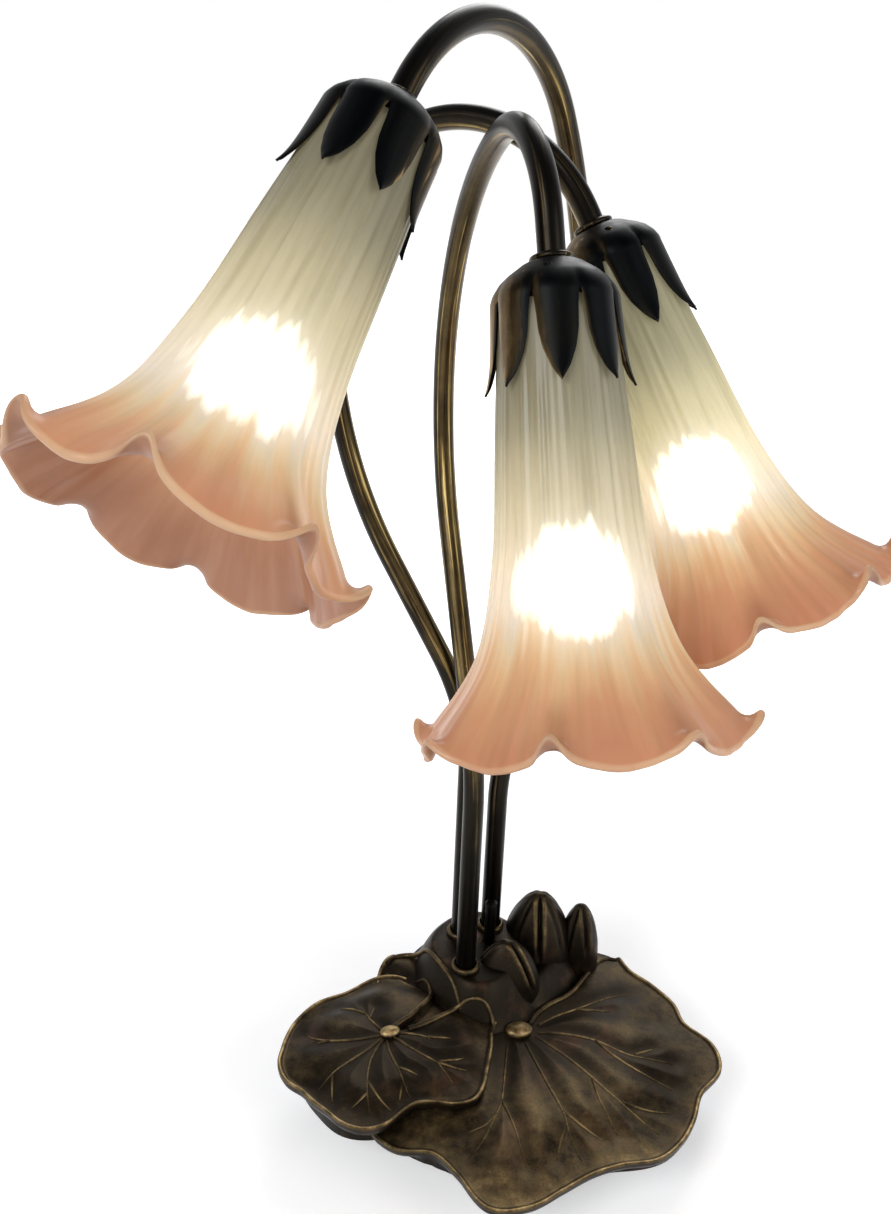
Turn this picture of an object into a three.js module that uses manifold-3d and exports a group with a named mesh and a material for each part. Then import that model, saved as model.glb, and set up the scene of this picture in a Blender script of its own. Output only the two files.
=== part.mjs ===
// Three-light table lamp. A cast lily-pad base carries three bent tubes, and each tube holds a
// petal cup, a lamp holder, a ruffled tulip glass shade and a screw-in bulb.
// Millimetres, +Z up, origin on the table under the base, front of the lamp towards -Y.

import * as THREE from 'three';
import { mergeVertices } from 'three/addons/utils/BufferGeometryUtils.js';
import Module from 'manifold-3d';

const wasm = await Module();
wasm.setup();
const rad = THREE.MathUtils.degToRad;

// Clearances
const gap = 0.3;
const facetSlack = 0.15;
const cutOverrun = 2;

// Tubes
const tubeDiameter = 10;
const tubeWall = 1;
const tubeSides = 8;
const boreSides = 6;
const bendStepAngle = 15;

// Route of the left arm: foot on the base, compass heading of its shade, then leg by leg
const leftFootX = -2.8;
const leftFootY = 64.2;
const leftHeading = -122;
const leftRise = 79.7;
const leftLeanAngle = 22.6;
const leftLeanRadius = 59.3;
const leftRun = 97.6;
const leftSweepRadius = 223;
const leftArchStartAngle = 33.5;
const leftArchRadius = 74.2;
const leftDroopAngle = 136.9;
const leftNose = 8.8;

// Route of the front arm
const frontFootX = -16.1;
const frontFootY = 30.7;
const frontHeading = -75.2;
const frontRise = 93.3;
const frontLeanAngle = 34.3;
const frontLeanRadius = 89.9;
const frontRun = 84.8;
const frontSweepRadius = 122;
const frontArchStartAngle = 67.3;
const frontArchRadius = 50;
const frontDroopAngle = 156.5;
const frontNose = 13.8;

// Route of the right arm
const rightFootX = -18.7;
const rightFootY = 57.6;
const rightHeading = -32.7;
const rightRise = 100.4;
const rightLeanAngle = 36;
const rightLeanRadius = 100.7;
const rightRun = 51.2;
const rightSweepRadius = 191.6;
const rightArchStartAngle = 8.8;
const rightArchRadius = 68.3;
const rightDroopAngle = 148.7;
const rightNose = 6.8;

// Base casting
const castingHeight = 36;
const castingLift = 0.8;
const castingWall = 5;
const padSides = 28;
const bigPadX = 12;
const bigPadY = 11;
const bigPadRadius = 94;
const bigPadHeight = 13;
const bigPadEdge = 8;
const bigPadLip = 3;
const bigPadUndercut = 6;
const smallPadX = -52.5;
const smallPadY = -3.5;
const smallPadRadius = 54;
const smallPadHeight = 23;
const smallPadEdge = 18;
const smallPadLip = 4;
const smallPadUndercut = 11;
const thirdPadX = -37;
const thirdPadY = 36;
const thirdPadRadius = 25;
const thirdPadHeight = 25;
const thirdPadEdge = 22;
const thirdPadLip = 3;
const thirdPadUndercut = 3;
const undercutSlope = 2;
const moundX = -10;
const moundY = 48;
const moundRadius = 38;
const budMoundX = 20;
const budMoundY = 56;
const budMoundRadius = 37;
const budMoundDepth = 30;
const budMoundHeight = 27;
const moundSides = 16;
const pocketRadius = 27.4;
const ductStart = 13.7;
const budSides = 8;

// Buds: place, half widths and height of the tip above the table
const frontBudX = 9;
const frontBudY = 34;
const frontBudRadius = 17;
const frontBudDepth = 14;
const frontBudTip = 50;
const largeBudX = 22.5;
const largeBudY = 64;
const largeBudRadius = 17;
const largeBudDepth = 16;
const largeBudTip = 59;
const smallBudX = 45;
const smallBudY = 66;
const smallBudRadius = 9;
const smallBudDepth = 9;
const smallBudTip = 51;
const budRoot = 10;

// Closing plate, felt and plate screws
const feltThickness = 2;
const plateThickness = 2;
const plateMargin = 4;
const screwDiameter = 4;
const screwHeadDiameter = 7.2;
const screwBite = 6;
const screwCircleRadius = 62;
const screwBearings = [-18, -92, -150];

// Tube fixings in the base
const footRingDiameter = 14.4;
const footRingHeight = 2.4;
const washerDiameter = 16;
const washerThickness = 1.2;
const nutWidth = 14;
const nutThickness = 3.5;
const tubeTail = 3.7;

// Wiring in the base
const wireDiameter = 5;
const wireSides = 5;
const spliceDiameter = 8;
const spliceHeight = 13;
const spliceBoreDepth = 7;

// Rotary switch
const switchX = -3.6;
const switchY = 49.7;
const switchDiameter = 20;
const switchHeight = 13;
const switchNeckDiameter = 7;
const knobDiameter = 6;
const knobHeight = 26;
const knobStemDiameter = 3;
const knobStemLength = 9;
const knobChamfer = 0.75;

// Cord bushing in the back wall
const bushingHeight = 17;
const bushingReach = 38.5;
const bushingFlangeDiameter = 13;
const bushingFlangeThickness = 2;
const bushingBarrelDiameter = 9.6;
const bushingBoreDiameter = 7;
const bushingBossDiameter = 16;
const bushingBossStart = 19;
const bushingBarrelLength = 10;

// Petal cup, measured from its top face along the axis of the shade
const cupSheet = 0.8;
const cupDiameter = 43.4;
const cupTopDiameter = 19;
const cupDomeHeight = 13;
const cupSkirt = 3.5;
const cupSides = 16;
const petalCount = 8;
const petalLength = 31;
const petalWidth = 17.4;
const petalSpread = 2.1;
const petalCurl = 1.6;
const leftPetalTurnAngle = -15;
const frontPetalTurnAngle = 18;
const rightPetalTurnAngle = 0;
const curlExponent = 4;
const collarDiameter = 16;
const collarHeight = 3;
const cupNutThickness = 3;

// Lamp holder
const turnedSides = 10;
const tubeGrip = 12;
const holderDiameter = 27;
const holderNeckDiameter = 18;
const holderNeckLength = 4.5;
const holderShoulder = 1.8;
const holderMouth = 66;
const holderSeat = 14.5;
const holderFlangeDiameter = 34;
const holderFlangeThickness = 1.5;
const leadDepth = 11;
const socketBoreDiameter = 14.8;
const shadeRingDiameter = 33;
const shadeRingHeight = 5;
const shadeRingBevel = 1.7;

// Glass shade
const shadeWall = 2.8;
const shadeHoleDiameter = 28.4;
const shadeRimRadius = 58;
const shadeLength = 149;
const shadeSides = 32;
const shadeLobeCount = 8;
const ruffleRise = 4;
const ruffleReach = 2.5;
const ruffleExponent = 5;
const leftShadeTurnAngle = 15;
const frontShadeTurnAngle = 30;
const rightShadeTurnAngle = 19;

// Bulb
const bulbCapDiameter = 13.6;
const bulbCapLength = 22;
const bulbCapWall = 1;
const bulbCapBevel = 2.3;
const bulbNeckLength = 11;
const bulbLength = 72;
const bulbDiameter = 35;
const bulbWall = 1;
const bulbSides = 10;
const contactDiameter = 4.8;
const contactHeight = 2;

// Heights and radii that follow from the sizes above
const plateLow = feltThickness + gap;
const plateTop = plateLow + plateThickness;
const recessTop = plateTop + gap;
const castingCeiling = castingHeight - castingWall;
const washerLow = castingCeiling - gap - washerThickness;
const nutLow = washerLow - gap - nutThickness;
const tubeEnd = nutLow - tubeTail;
const tubeRadius = tubeDiameter / 2;
const tubeHole = tubeRadius + gap + facetSlack;
const cupNutTop = cupSheet + gap;
const holderTop = cupNutTop + cupNutThickness + gap;
const shadeTop = holderSeat + gap;
const ringTop = shadeTop + shadeWall + gap;
const socketFloor = holderMouth - (bulbCapLength + contactHeight + gap * 2) + gap;
const contactTop = socketFloor + gap;
const capTop = contactTop + contactHeight + gap;
const capMouth = capTop + bulbCapLength;

// Outline shares: pad radii at even bearings from +X, and profiles as [radius, height] pairs
const bigPadShares = [
  1.05, 0.97, 0.89, 0.9, 0.77, 0.62, 0.6, 0.66, 0.74, 0.88, 0.98, 0.95, 1.05, 0.92, 1.05, 1.04,
];
const smallPadShares = [
  1.02, 1.05, 0.82, 0.81, 0.83, 0.8, 0.81, 0.85, 0.96, 1.04, 1.06, 1.11, 1.02, 0.86, 1.03, 1.02,
];
const thirdPadShares = [1.02, 0.92, 0.95, 1.02, 1, 0.9, 0.96, 1];
const padDishShares = [[0.3, 0.92], [0.66, 0.8], [0.9, 0.12], [1, 0]];
const moundShares = [[1, 0.2], [0.95, 0.45], [0.89, 0.72], [0.845, 0.92], [0.775, 1]];
const budShares = [[1, 0], [0.97, 0.35], [0.82, 0.62], [0.5, 0.86], [0.2, 0.97]];
const domeShares = [[0.6, 0.17], [0.86, 0.5], [0.985, 1]];
const petalWidthShares = [1, 0.95, 0.82, 0.56, 0.14];
const shadeProfileShares = [
  [0.334, 0], [0.355, 0.035], [0.383, 0.169], [0.417, 0.339], [0.455, 0.522], [0.514, 0.664],
  [0.583, 0.765], [0.66, 0.832], [0.769, 0.893], [0.888, 0.947], [1, 1],
];
const bulbShares = [[0.4, 0], [0.7, 0.17], [0.98, 0.38], [0.97, 0.52], [0.7, 0.75], [0.3, 0.93]];

// Finishes
const finish = (color, roughness, metalness) => (
  new THREE.MeshStandardMaterial({ color, roughness, metalness })
);
const bronze = finish(0x3a2f20, 0.45, 0.9);
const darkBronze = finish(0x1b1a1a, 0.4, 0.85);
const steel = finish(0x9a9a98, 0.35, 0.9);
const brass = finish(0xb08d4a, 0.35, 0.9);
const phenolic = finish(0x16130f, 0.5, 0);
const nylon = finish(0xe4e0d4, 0.55, 0);
const flex = finish(0xc9b36a, 0.6, 0);
const felt = finish(0x1f2a22, 0.95, 0);
const shadeGlass = finish(0xe0c9a6, 0.3, 0);
const bulbGlass = finish(0xfff4dc, 0.15, 0);

// Solids and meshes
const weldTolerance = 1e-3;

function solidOf(geometry) {
  const bare = new THREE.BufferGeometry();
  bare.setAttribute('position', geometry.getAttribute('position'));
  bare.setIndex(geometry.index);
  const welded = mergeVertices(bare, weldTolerance);
  const position = welded.getAttribute('position');
  const corner = (i) => new THREE.Vector3().fromBufferAttribute(position, i);
  const faces = [];
  let volume = 0;
  for (let i = 0; i < welded.index.count; i += 3) {
    const [a, b, c] = [0, 1, 2].map((k) => welded.index.getX(i + k));
    if (a === b || b === c || c === a) continue;
    faces.push([a, b, c]);
    volume += corner(a).dot(corner(b).cross(corner(c)));
  }
  const outward = volume < 0 ? faces.map(([a, b, c]) => [a, c, b]) : faces;
  return new wasm.Manifold(new wasm.Mesh({
    numProp: 3,
    vertProperties: new Float32Array(position.array),
    triVerts: new Uint32Array(outward.flat()),
  }));
}

function meshOf(name, solid, material) {
  const { vertProperties, triVerts } = solid.getMesh();
  const geometry = new THREE.BufferGeometry();
  geometry.setAttribute('position', new THREE.BufferAttribute(vertProperties, 3));
  geometry.setIndex(new THREE.BufferAttribute(triVerts, 1));
  geometry.computeVertexNormals();
  const mesh = new THREE.Mesh(geometry, material);
  mesh.name = name;
  return mesh;
}

// A turned piece about +Z from [radius, height] points
function turned(profile, sides = turnedSides) {
  const points = profile.map(([radius, height]) => new THREE.Vector2(radius, height));
  return new THREE.LatheGeometry(points, sides).rotateX(Math.PI / 2);
}

// A turned ring: the profile closes on itself
function ring(profile, sides = turnedSides) {
  return turned([...profile, profile[0]], sides);
}

function disc(radius, low, high, sides = turnedSides) {
  return turned([[0, low], [radius, low], [radius, high], [0, high]], sides);
}

// Move every vertex by a rule given in radius, bearing and height
function reshaped(geometry, rule) {
  const position = geometry.getAttribute('position');
  for (let i = 0; i < position.count; i += 1) {
    const [x, y, z] = [position.getX(i), position.getY(i), position.getZ(i)];
    const [radius, bearing, height] = rule(Math.hypot(x, y), Math.atan2(y, x), z);
    position.setXYZ(i, radius * Math.cos(bearing), radius * Math.sin(bearing), height);
  }
  return geometry;
}

function hexNut(width, bore, low, high) {
  const corners = [0, 1, 2, 3, 4, 5].map((k) => {
    const reach = width / 2 / Math.cos(Math.PI / 6);
    return new THREE.Vector2(reach * Math.cos((k * Math.PI) / 3), reach * Math.sin((k * Math.PI) / 3));
  });
  const outline = new THREE.Shape(corners);
  outline.holes.push(new THREE.Path(polygon(bore, turnedSides)));
  const nut = new THREE.ExtrudeGeometry(outline, { depth: high - low, bevelEnabled: false });
  return nut.translate(0, 0, low);
}

function polygon(radius, sides) {
  return new THREE.EllipseCurve(0, 0, radius, radius).getPoints(sides).slice(0, sides);
}

// Share of an outline at a bearing, by a smooth closed curve through its even table
function shareAt(shares, bearing) {
  const turns = bearing / (2 * Math.PI);
  const place = (turns - Math.floor(turns)) * shares.length;
  const k = Math.floor(place);
  const t = place - k;
  const at = (i) => shares[(k + i + shares.length) % shares.length];
  const [a, b, c, d] = [at(-1), at(0), at(1), at(2)];
  return b + 0.5 * t * (c - a + t * (2 * a - 5 * b + 4 * c - d + t * (3 * (b - c) + d - a)));
}

// Tubes: a centre line of straight legs and bends in the X-Z plane, starting upwards
class BentLine extends THREE.Curve {
  constructor(startHeight, legs) {
    super();
    this.stations = [{ point: new THREE.Vector3(0, 0, startHeight), angle: 0 }];
    legs.forEach((leg) => (leg.radius ? this.bend(leg.bend, leg.radius) : this.straight(leg.straight)));
  }

  get last() {
    return this.stations[this.stations.length - 1];
  }

  heading(angle) {
    return new THREE.Vector3(Math.sin(angle), 0, Math.cos(angle));
  }

  straight(length) {
    const { point, angle } = this.last;
    this.stations.push({ point: point.clone().addScaledVector(this.heading(angle), length), angle });
  }

  bend(degrees, radius) {
    const { point, angle } = this.last;
    const side = Math.sign(degrees);
    const square = (a) => new THREE.Vector3(Math.cos(a), 0, -Math.sin(a)).multiplyScalar(side * radius);
    const centre = point.clone().add(square(angle));
    const steps = Math.max(1, Math.ceil(Math.abs(degrees) / bendStepAngle));
    for (let k = 1; k <= steps; k += 1) {
      const turnedTo = angle + (rad(degrees) * k) / steps;
      this.stations.push({ point: centre.clone().sub(square(turnedTo)), angle: turnedTo });
    }
  }

  between(u) {
    const place = u * (this.stations.length - 1);
    const k = Math.min(Math.floor(place), this.stations.length - 2);
    return [this.stations[k], this.stations[k + 1], place - k];
  }

  getPointAt(u) {
    const [from, to, t] = this.between(u);
    return from.point.clone().lerp(to.point, t);
  }

  getTangentAt(u) {
    const [from, to, t] = this.between(u);
    return this.heading(THREE.MathUtils.lerp(from.angle, to.angle, t));
  }
}

function alongLine(line, section) {
  const steps = line.stations.length - 1;
  return new THREE.ExtrudeGeometry(section, { steps, extrudePath: line, bevelEnabled: false });
}

function tubeSection() {
  const section = new THREE.Shape(polygon(tubeRadius, tubeSides));
  section.holes.push(new THREE.Path(polygon(tubeRadius - tubeWall, boreSides)));
  return section;
}

const arms = [
  {
    side: 'left', x: leftFootX, y: leftFootY, heading: leftHeading,
    rise: leftRise, lean: leftLeanAngle, leanRadius: leftLeanRadius,
    run: leftRun, sweepRadius: leftSweepRadius,
    archStart: leftArchStartAngle, archRadius: leftArchRadius,
    droop: leftDroopAngle, nose: leftNose,
    shadeTurn: leftShadeTurnAngle, petalTurn: leftPetalTurnAngle,
  },
  {
    side: 'front', x: frontFootX, y: frontFootY, heading: frontHeading,
    rise: frontRise, lean: frontLeanAngle, leanRadius: frontLeanRadius,
    run: frontRun, sweepRadius: frontSweepRadius,
    archStart: frontArchStartAngle, archRadius: frontArchRadius,
    droop: frontDroopAngle, nose: frontNose,
    shadeTurn: frontShadeTurnAngle, petalTurn: frontPetalTurnAngle,
  },
  {
    side: 'right', x: rightFootX, y: rightFootY, heading: rightHeading,
    rise: rightRise, lean: rightLeanAngle, leanRadius: rightLeanRadius,
    run: rightRun, sweepRadius: rightSweepRadius,
    archStart: rightArchStartAngle, archRadius: rightArchRadius,
    droop: rightDroopAngle, nose: rightNose,
    shadeTurn: rightShadeTurnAngle, petalTurn: rightPetalTurnAngle,
  },
];

function armLine(arm, startHeight, tail) {
  return new BentLine(startHeight, [
    { straight: castingHeight + arm.rise - startHeight },
    { bend: -arm.lean, radius: arm.leanRadius },
    { straight: arm.run },
    { bend: arm.lean + arm.archStart, radius: arm.sweepRadius },
    { bend: arm.droop - arm.archStart, radius: arm.archRadius },
    { straight: arm.nose + tail },
  ]);
}

// Base casting: pads, mounds and buds joined, then hollowed and drilled
function pad(radius, shares, edge, height, lip, undercut) {
  const dish = padDishShares.map(([reach, rise]) => [radius * reach, edge + (height - edge) * rise]);
  const neck = radius - undercut;
  const solid = turned([
    [0, height], ...dish, [radius, edge - lip], [neck, edge - lip - undercutSlope], [neck, castingLift],
    [0, castingLift],
  ], padSides);
  return reshaped(solid, (reach, bearing, z) => [reach * shareAt(shares, bearing), bearing, z]);
}

function mound(radius, depth, height) {
  const profile = moundShares.map(([reach, rise]) => [radius * reach, height * rise]);
  const solid = turned([[0, castingLift], [radius, castingLift], ...profile, [0, height]], moundSides);
  return solid.scale(1, depth / radius, 1);
}

function bud(radius, depth, tip) {
  const profile = budShares.map(([reach, rise]) => [radius * reach, budRoot + (tip - budRoot) * rise]);
  return turned([[0, budRoot], ...profile, [0, tip]], budSides).scale(1, depth / radius, 1);
}

// The outline inside the casting's edge, as an upright slab: plate, felt and their recess
function footprint(inset, low, high) {
  const slab = (neck, shares, x, y) => {
    const flat = disc(neck, low, high, padSides);
    const rule = (reach, bearing, z) => [reach && reach * shareAt(shares, bearing) - inset, bearing, z];
    return solidOf(reshaped(flat, rule).translate(x, y, 0));
  };
  const middle = disc(moundRadius - inset, low, high, moundSides).translate(moundX, moundY, 0);
  return slab(bigPadRadius - bigPadUndercut, bigPadShares, bigPadX, bigPadY)
    .add(slab(smallPadRadius - smallPadUndercut, smallPadShares, smallPadX, smallPadY))
    .add(solidOf(middle));
}

const screwPlaces = screwBearings.map((bearing) => [
  bigPadX + screwCircleRadius * Math.cos(rad(bearing)),
  bigPadY + screwCircleRadius * Math.sin(rad(bearing)),
]);

// Countersunk screw, or the hole for it when grown by a clearance
function screw(clearance) {
  const head = screwHeadDiameter / 2 + clearance;
  const shank = screwDiameter / 2 + clearance;
  const low = plateLow + gap - (clearance ? cutOverrun : 0);
  const full = plateLow + gap;
  const neck = full + head - shank;
  const top = plateTop + screwBite + clearance;
  const flare = clearance ? [[head, low], [head, full]] : [[head, full]];
  return turned([[0, low], ...flare, [shank, neck], [shank, top], [0, top]]);
}

function bushingBlank(diameter, from, to) {
  return disc(diameter / 2, from, to).rotateX(-Math.PI / 2).translate(moundX, moundY, bushingHeight);
}

function baseCasting() {
  const bigPad = pad(bigPadRadius, bigPadShares, bigPadEdge, bigPadHeight, bigPadLip, bigPadUndercut);
  const smallPad = pad(
    smallPadRadius, smallPadShares, smallPadEdge, smallPadHeight, smallPadLip, smallPadUndercut,
  );
  const thirdPad = pad(
    thirdPadRadius, thirdPadShares, thirdPadEdge, thirdPadHeight, thirdPadLip, thirdPadUndercut,
  );
  let solid = solidOf(bigPad.translate(bigPadX, bigPadY, 0))
    .add(solidOf(smallPad.translate(smallPadX, smallPadY, 0)))
    .add(solidOf(thirdPad.translate(thirdPadX, thirdPadY, 0)))
    .add(solidOf(mound(moundRadius, moundRadius, castingHeight).translate(moundX, moundY, 0)))
    .add(solidOf(mound(budMoundRadius, budMoundDepth, budMoundHeight).translate(budMoundX, budMoundY, 0)))
    .add(solidOf(bud(frontBudRadius, frontBudDepth, frontBudTip).translate(frontBudX, frontBudY, 0)))
    .add(solidOf(bud(largeBudRadius, largeBudDepth, largeBudTip).translate(largeBudX, largeBudY, 0)))
    .add(solidOf(bud(smallBudRadius, smallBudDepth, smallBudTip).translate(smallBudX, smallBudY, 0)))
    .add(solidOf(bushingBlank(bushingBossDiameter, bushingBossStart, bushingReach)));
  const pocket = disc(pocketRadius, castingLift, castingCeiling, moundSides);
  const duct = bushingBlank(bushingBarrelDiameter + gap * 2, ductStart, bushingReach + cutOverrun);
  solid = solid
    .subtract(footprint(plateMargin - gap, castingLift - cutOverrun, recessTop))
    .subtract(solidOf(pocket.translate(moundX, moundY, 0)))
    .subtract(solidOf(duct));
  const drill = (radius, x, y) => {
    const hole = disc(radius, castingLift, castingHeight + cutOverrun);
    solid = solid.subtract(solidOf(hole.translate(x, y, 0)));
  };
  arms.forEach((arm) => drill(tubeHole, arm.x, arm.y));
  drill(switchNeckDiameter / 2 + gap, switchX, switchY);
  screwPlaces.forEach(([x, y]) => {
    solid = solid.subtract(solidOf(screw(gap).translate(x, y, 0)));
  });
  return solid;
}

function basePlate() {
  return screwPlaces.reduce(
    (solid, [x, y]) => solid.subtract(solidOf(screw(gap).translate(x, y, 0))),
    footprint(plateMargin, plateLow, plateTop),
  );
}

// Fixings at the foot of a tube
const footRing = solidOf(ring([
  [tubeHole, castingHeight + gap],
  [footRingDiameter / 2, castingHeight + gap],
  [footRingDiameter / 2, castingHeight + gap + footRingHeight / 2],
  [footRingDiameter / 2 - footRingHeight / 2, castingHeight + gap + footRingHeight],
  [tubeHole, castingHeight + gap + footRingHeight],
]));
const washer = solidOf(ring([
  [tubeHole, washerLow],
  [washerDiameter / 2, washerLow],
  [washerDiameter / 2, washerLow + washerThickness],
  [tubeHole, washerLow + washerThickness],
]));
const footNut = solidOf(hexNut(nutWidth, tubeHole, nutLow, nutLow + nutThickness));
const spliceTop = plateTop + gap + spliceHeight;
const spliceCap = solidOf(turned([
  [0, plateTop + gap],
  [spliceDiameter / 2, plateTop + gap],
  [spliceDiameter / 2, spliceTop],
  [wireDiameter / 2 + gap, spliceTop],
  [wireDiameter / 2 + gap, spliceTop - spliceBoreDepth],
  [0, spliceTop - spliceBoreDepth],
]));

// Switch, knob and cord bushing
function switchBody() {
  const low = plateTop + gap;
  const neck = switchNeckDiameter / 2;
  const bore = knobStemDiameter / 2 + gap;
  const neckTop = castingHeight - gap;
  const boreFloor = neckTop - knobStemLength - gap;
  return solidOf(turned([
    [0, low], [switchDiameter / 2, low], [switchDiameter / 2, low + switchHeight],
    [neck, low + switchHeight], [neck, neckTop], [bore, neckTop], [bore, boreFloor], [0, boreFloor],
  ]));
}

function switchKnob() {
  const foot = castingHeight + gap;
  const top = foot + knobHeight;
  const stem = knobStemDiameter / 2;
  const stemEnd = foot - gap - knobStemLength;
  return solidOf(turned([
    [0, stemEnd], [stem, stemEnd], [stem, foot], [knobDiameter / 2, foot],
    [knobDiameter / 2, top - knobChamfer], [knobDiameter / 2 - knobChamfer, top], [0, top],
  ]));
}

function cordBushing() {
  const bore = bushingBoreDiameter / 2;
  const barrel = bushingBarrelDiameter / 2;
  const flange = bushingFlangeDiameter / 2;
  const face = bushingReach + gap;
  const inner = face - bushingBarrelLength;
  const sleeve = ring([
    [bore, inner], [barrel, inner], [barrel, face], [flange, face],
    [flange, face + bushingFlangeThickness], [bore, face + bushingFlangeThickness],
  ]);
  return solidOf(sleeve.rotateX(-Math.PI / 2).translate(moundX, moundY, bushingHeight));
}

// Head pieces, about +Z with zero at the cup's top face and +Z out of the shade's mouth
const cupRadius = cupDiameter / 2;

function petal(index) {
  const rows = petalWidthShares.length - 1;
  const blade = new THREE.BoxGeometry(1, 1, 1, 2, 1, rows);
  const position = blade.getAttribute('position');
  const root = cupDomeHeight + cupSheet;
  for (let i = 0; i < position.count; i += 1) {
    const t = position.getZ(i) + 0.5;
    const width = petalWidth * petalWidthShares[Math.round(t * rows)];
    const bearing = (index * 2 * Math.PI) / petalCount + (position.getX(i) * width) / cupRadius;
    const reach = cupRadius + petalSpread * t + petalCurl * t ** curlExponent;
    const radius = reach + (position.getY(i) - 0.5) * cupSheet;
    position.setXYZ(i, radius * Math.cos(bearing), radius * Math.sin(bearing), root + petalLength * t);
  }
  return solidOf(blade);
}

function petalCup() {
  const dome = domeShares.map(([reach, drop]) => [cupRadius * reach, cupDomeHeight * drop]);
  const skirtEnd = cupDomeHeight + cupSkirt;
  const inside = dome.map(([radius, height]) => [radius - cupSheet, height + cupSheet]).reverse();
  let solid = solidOf(ring([
    [tubeHole, 0], [cupTopDiameter / 2, 0], ...dome, [cupRadius, skirtEnd],
    [cupRadius - cupSheet, skirtEnd], ...inside,
    [cupTopDiameter / 2 - cupSheet, cupSheet], [tubeHole, cupSheet],
  ], cupSides));
  for (let k = 0; k < petalCount; k += 1) solid = solid.add(petal(k));
  return solid;
}

const cupCollar = solidOf(ring([
  [tubeHole, -gap - collarHeight],
  [collarDiameter / 2 - collarHeight / 2, -gap - collarHeight],
  [collarDiameter / 2, -gap - collarHeight / 2],
  [collarDiameter / 2, -gap],
  [tubeHole, -gap],
]));
const cupNut = solidOf(hexNut(nutWidth, tubeHole, cupNutTop, cupNutTop + cupNutThickness));

const holder = solidOf(turned([
  [0, tubeGrip + gap + leadDepth],
  [wireDiameter / 2 + gap * 2, tubeGrip + gap + leadDepth],
  [wireDiameter / 2 + gap * 2, tubeGrip + gap],
  [tubeHole, tubeGrip + gap],
  [tubeHole, holderTop],
  [holderNeckDiameter / 2, holderTop],
  [holderNeckDiameter / 2, holderTop + holderNeckLength],
  [holderDiameter / 2, holderTop + holderNeckLength + holderShoulder],
  [holderDiameter / 2, holderSeat - holderFlangeThickness],
  [holderFlangeDiameter / 2, holderSeat - holderFlangeThickness],
  [holderFlangeDiameter / 2, holderSeat],
  [holderDiameter / 2, holderSeat],
  [holderDiameter / 2, holderMouth],
  [socketBoreDiameter / 2, holderMouth],
  [socketBoreDiameter / 2, socketFloor],
  [0, socketFloor],
]));
const shadeRing = solidOf(ring([
  [holderDiameter / 2 + gap, ringTop],
  [shadeRingDiameter / 2, ringTop],
  [shadeRingDiameter / 2, ringTop + shadeRingHeight / 2],
  [shadeRingDiameter / 2 - shadeRingBevel, ringTop + shadeRingHeight],
  [holderDiameter / 2 + gap, ringTop + shadeRingHeight],
]));

// Shade: an outside profile with the wall set off square to it, then waved towards the rim
function glassShade() {
  const outside = shadeProfileShares.map(([reach, drop]) => (
    new THREE.Vector2(shadeRimRadius * reach, shadeTop + shadeLength * drop)
  ));
  const inside = outside.slice(1).map((point, k) => {
    const along = outside[Math.min(k + 2, outside.length - 1)].clone().sub(outside[k]).normalize();
    return new THREE.Vector2(point.x - along.y * shadeWall, point.y + along.x * shadeWall);
  }).reverse();
  const hole = shadeHoleDiameter / 2;
  const shoulder = inside[inside.length - 1].x;
  const profile = [
    [hole, shadeTop], ...outside.map(({ x, y }) => [x, y]), ...inside.map(({ x, y }) => [x, y]),
    [shoulder, shadeTop + shadeWall], [hole, shadeTop + shadeWall],
  ];
  return solidOf(reshaped(ring(profile, shadeSides), (radius, bearing, z) => {
    const down = Math.max(0, (z - shadeTop) / shadeLength);
    const wave = Math.cos(shadeLobeCount * bearing) * down ** ruffleExponent;
    return [radius + ruffleReach * wave, bearing, z - ruffleRise * wave];
  }));
}

const bulbContact = solidOf(disc(contactDiameter / 2, contactTop, contactTop + contactHeight));
const capRadius = bulbCapDiameter / 2;
const bulbCap = solidOf(turned([
  [0, capTop],
  [capRadius - bulbCapBevel, capTop],
  [capRadius, capTop + bulbCapBevel],
  [capRadius, capMouth],
  [capRadius - bulbCapWall, capMouth],
  [capRadius - bulbCapWall, capTop + bulbCapBevel + bulbCapWall],
  [0, capTop + bulbCapBevel + bulbCapWall],
]));

function bulbEnvelope() {
  const neck = capRadius - bulbCapWall - gap;
  const neckEnd = capMouth - bulbNeckLength;
  const start = capMouth + gap;
  const bulbRadius = bulbDiameter / 2;
  const outside = bulbShares.map(([reach, drop]) => [bulbRadius * reach, start + bulbLength * drop]);
  const inside = outside.map(([radius, z]) => [radius - bulbWall, z]).reverse();
  const tip = start + bulbLength;
  return solidOf(turned([
    [0, tip - bulbWall], ...inside, [neck - bulbWall, start], [neck - bulbWall, neckEnd], [neck, neckEnd],
    [neck, start], ...outside, [0, tip],
  ], bulbSides));
}

// The lamp
const lamp = new THREE.Group();
const place = (mesh, x, y) => {
  mesh.position.set(x, y, 0);
  lamp.add(mesh);
};

lamp.add(meshOf('felt_pad', footprint(plateMargin, 0, feltThickness), felt));
lamp.add(meshOf('base_plate', basePlate(), steel));
lamp.add(meshOf('base_casting', baseCasting(), bronze));
screwPlaces.forEach(([x, y], k) => place(meshOf(`plate_screw_${k + 1}`, solidOf(screw(0)), steel), x, y));
place(meshOf('switch_body', switchBody(), phenolic), switchX, switchY);
place(meshOf('switch_knob', switchKnob(), darkBronze), switchX, switchY);
lamp.add(meshOf('cord_bushing', cordBushing(), nylon));

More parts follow.
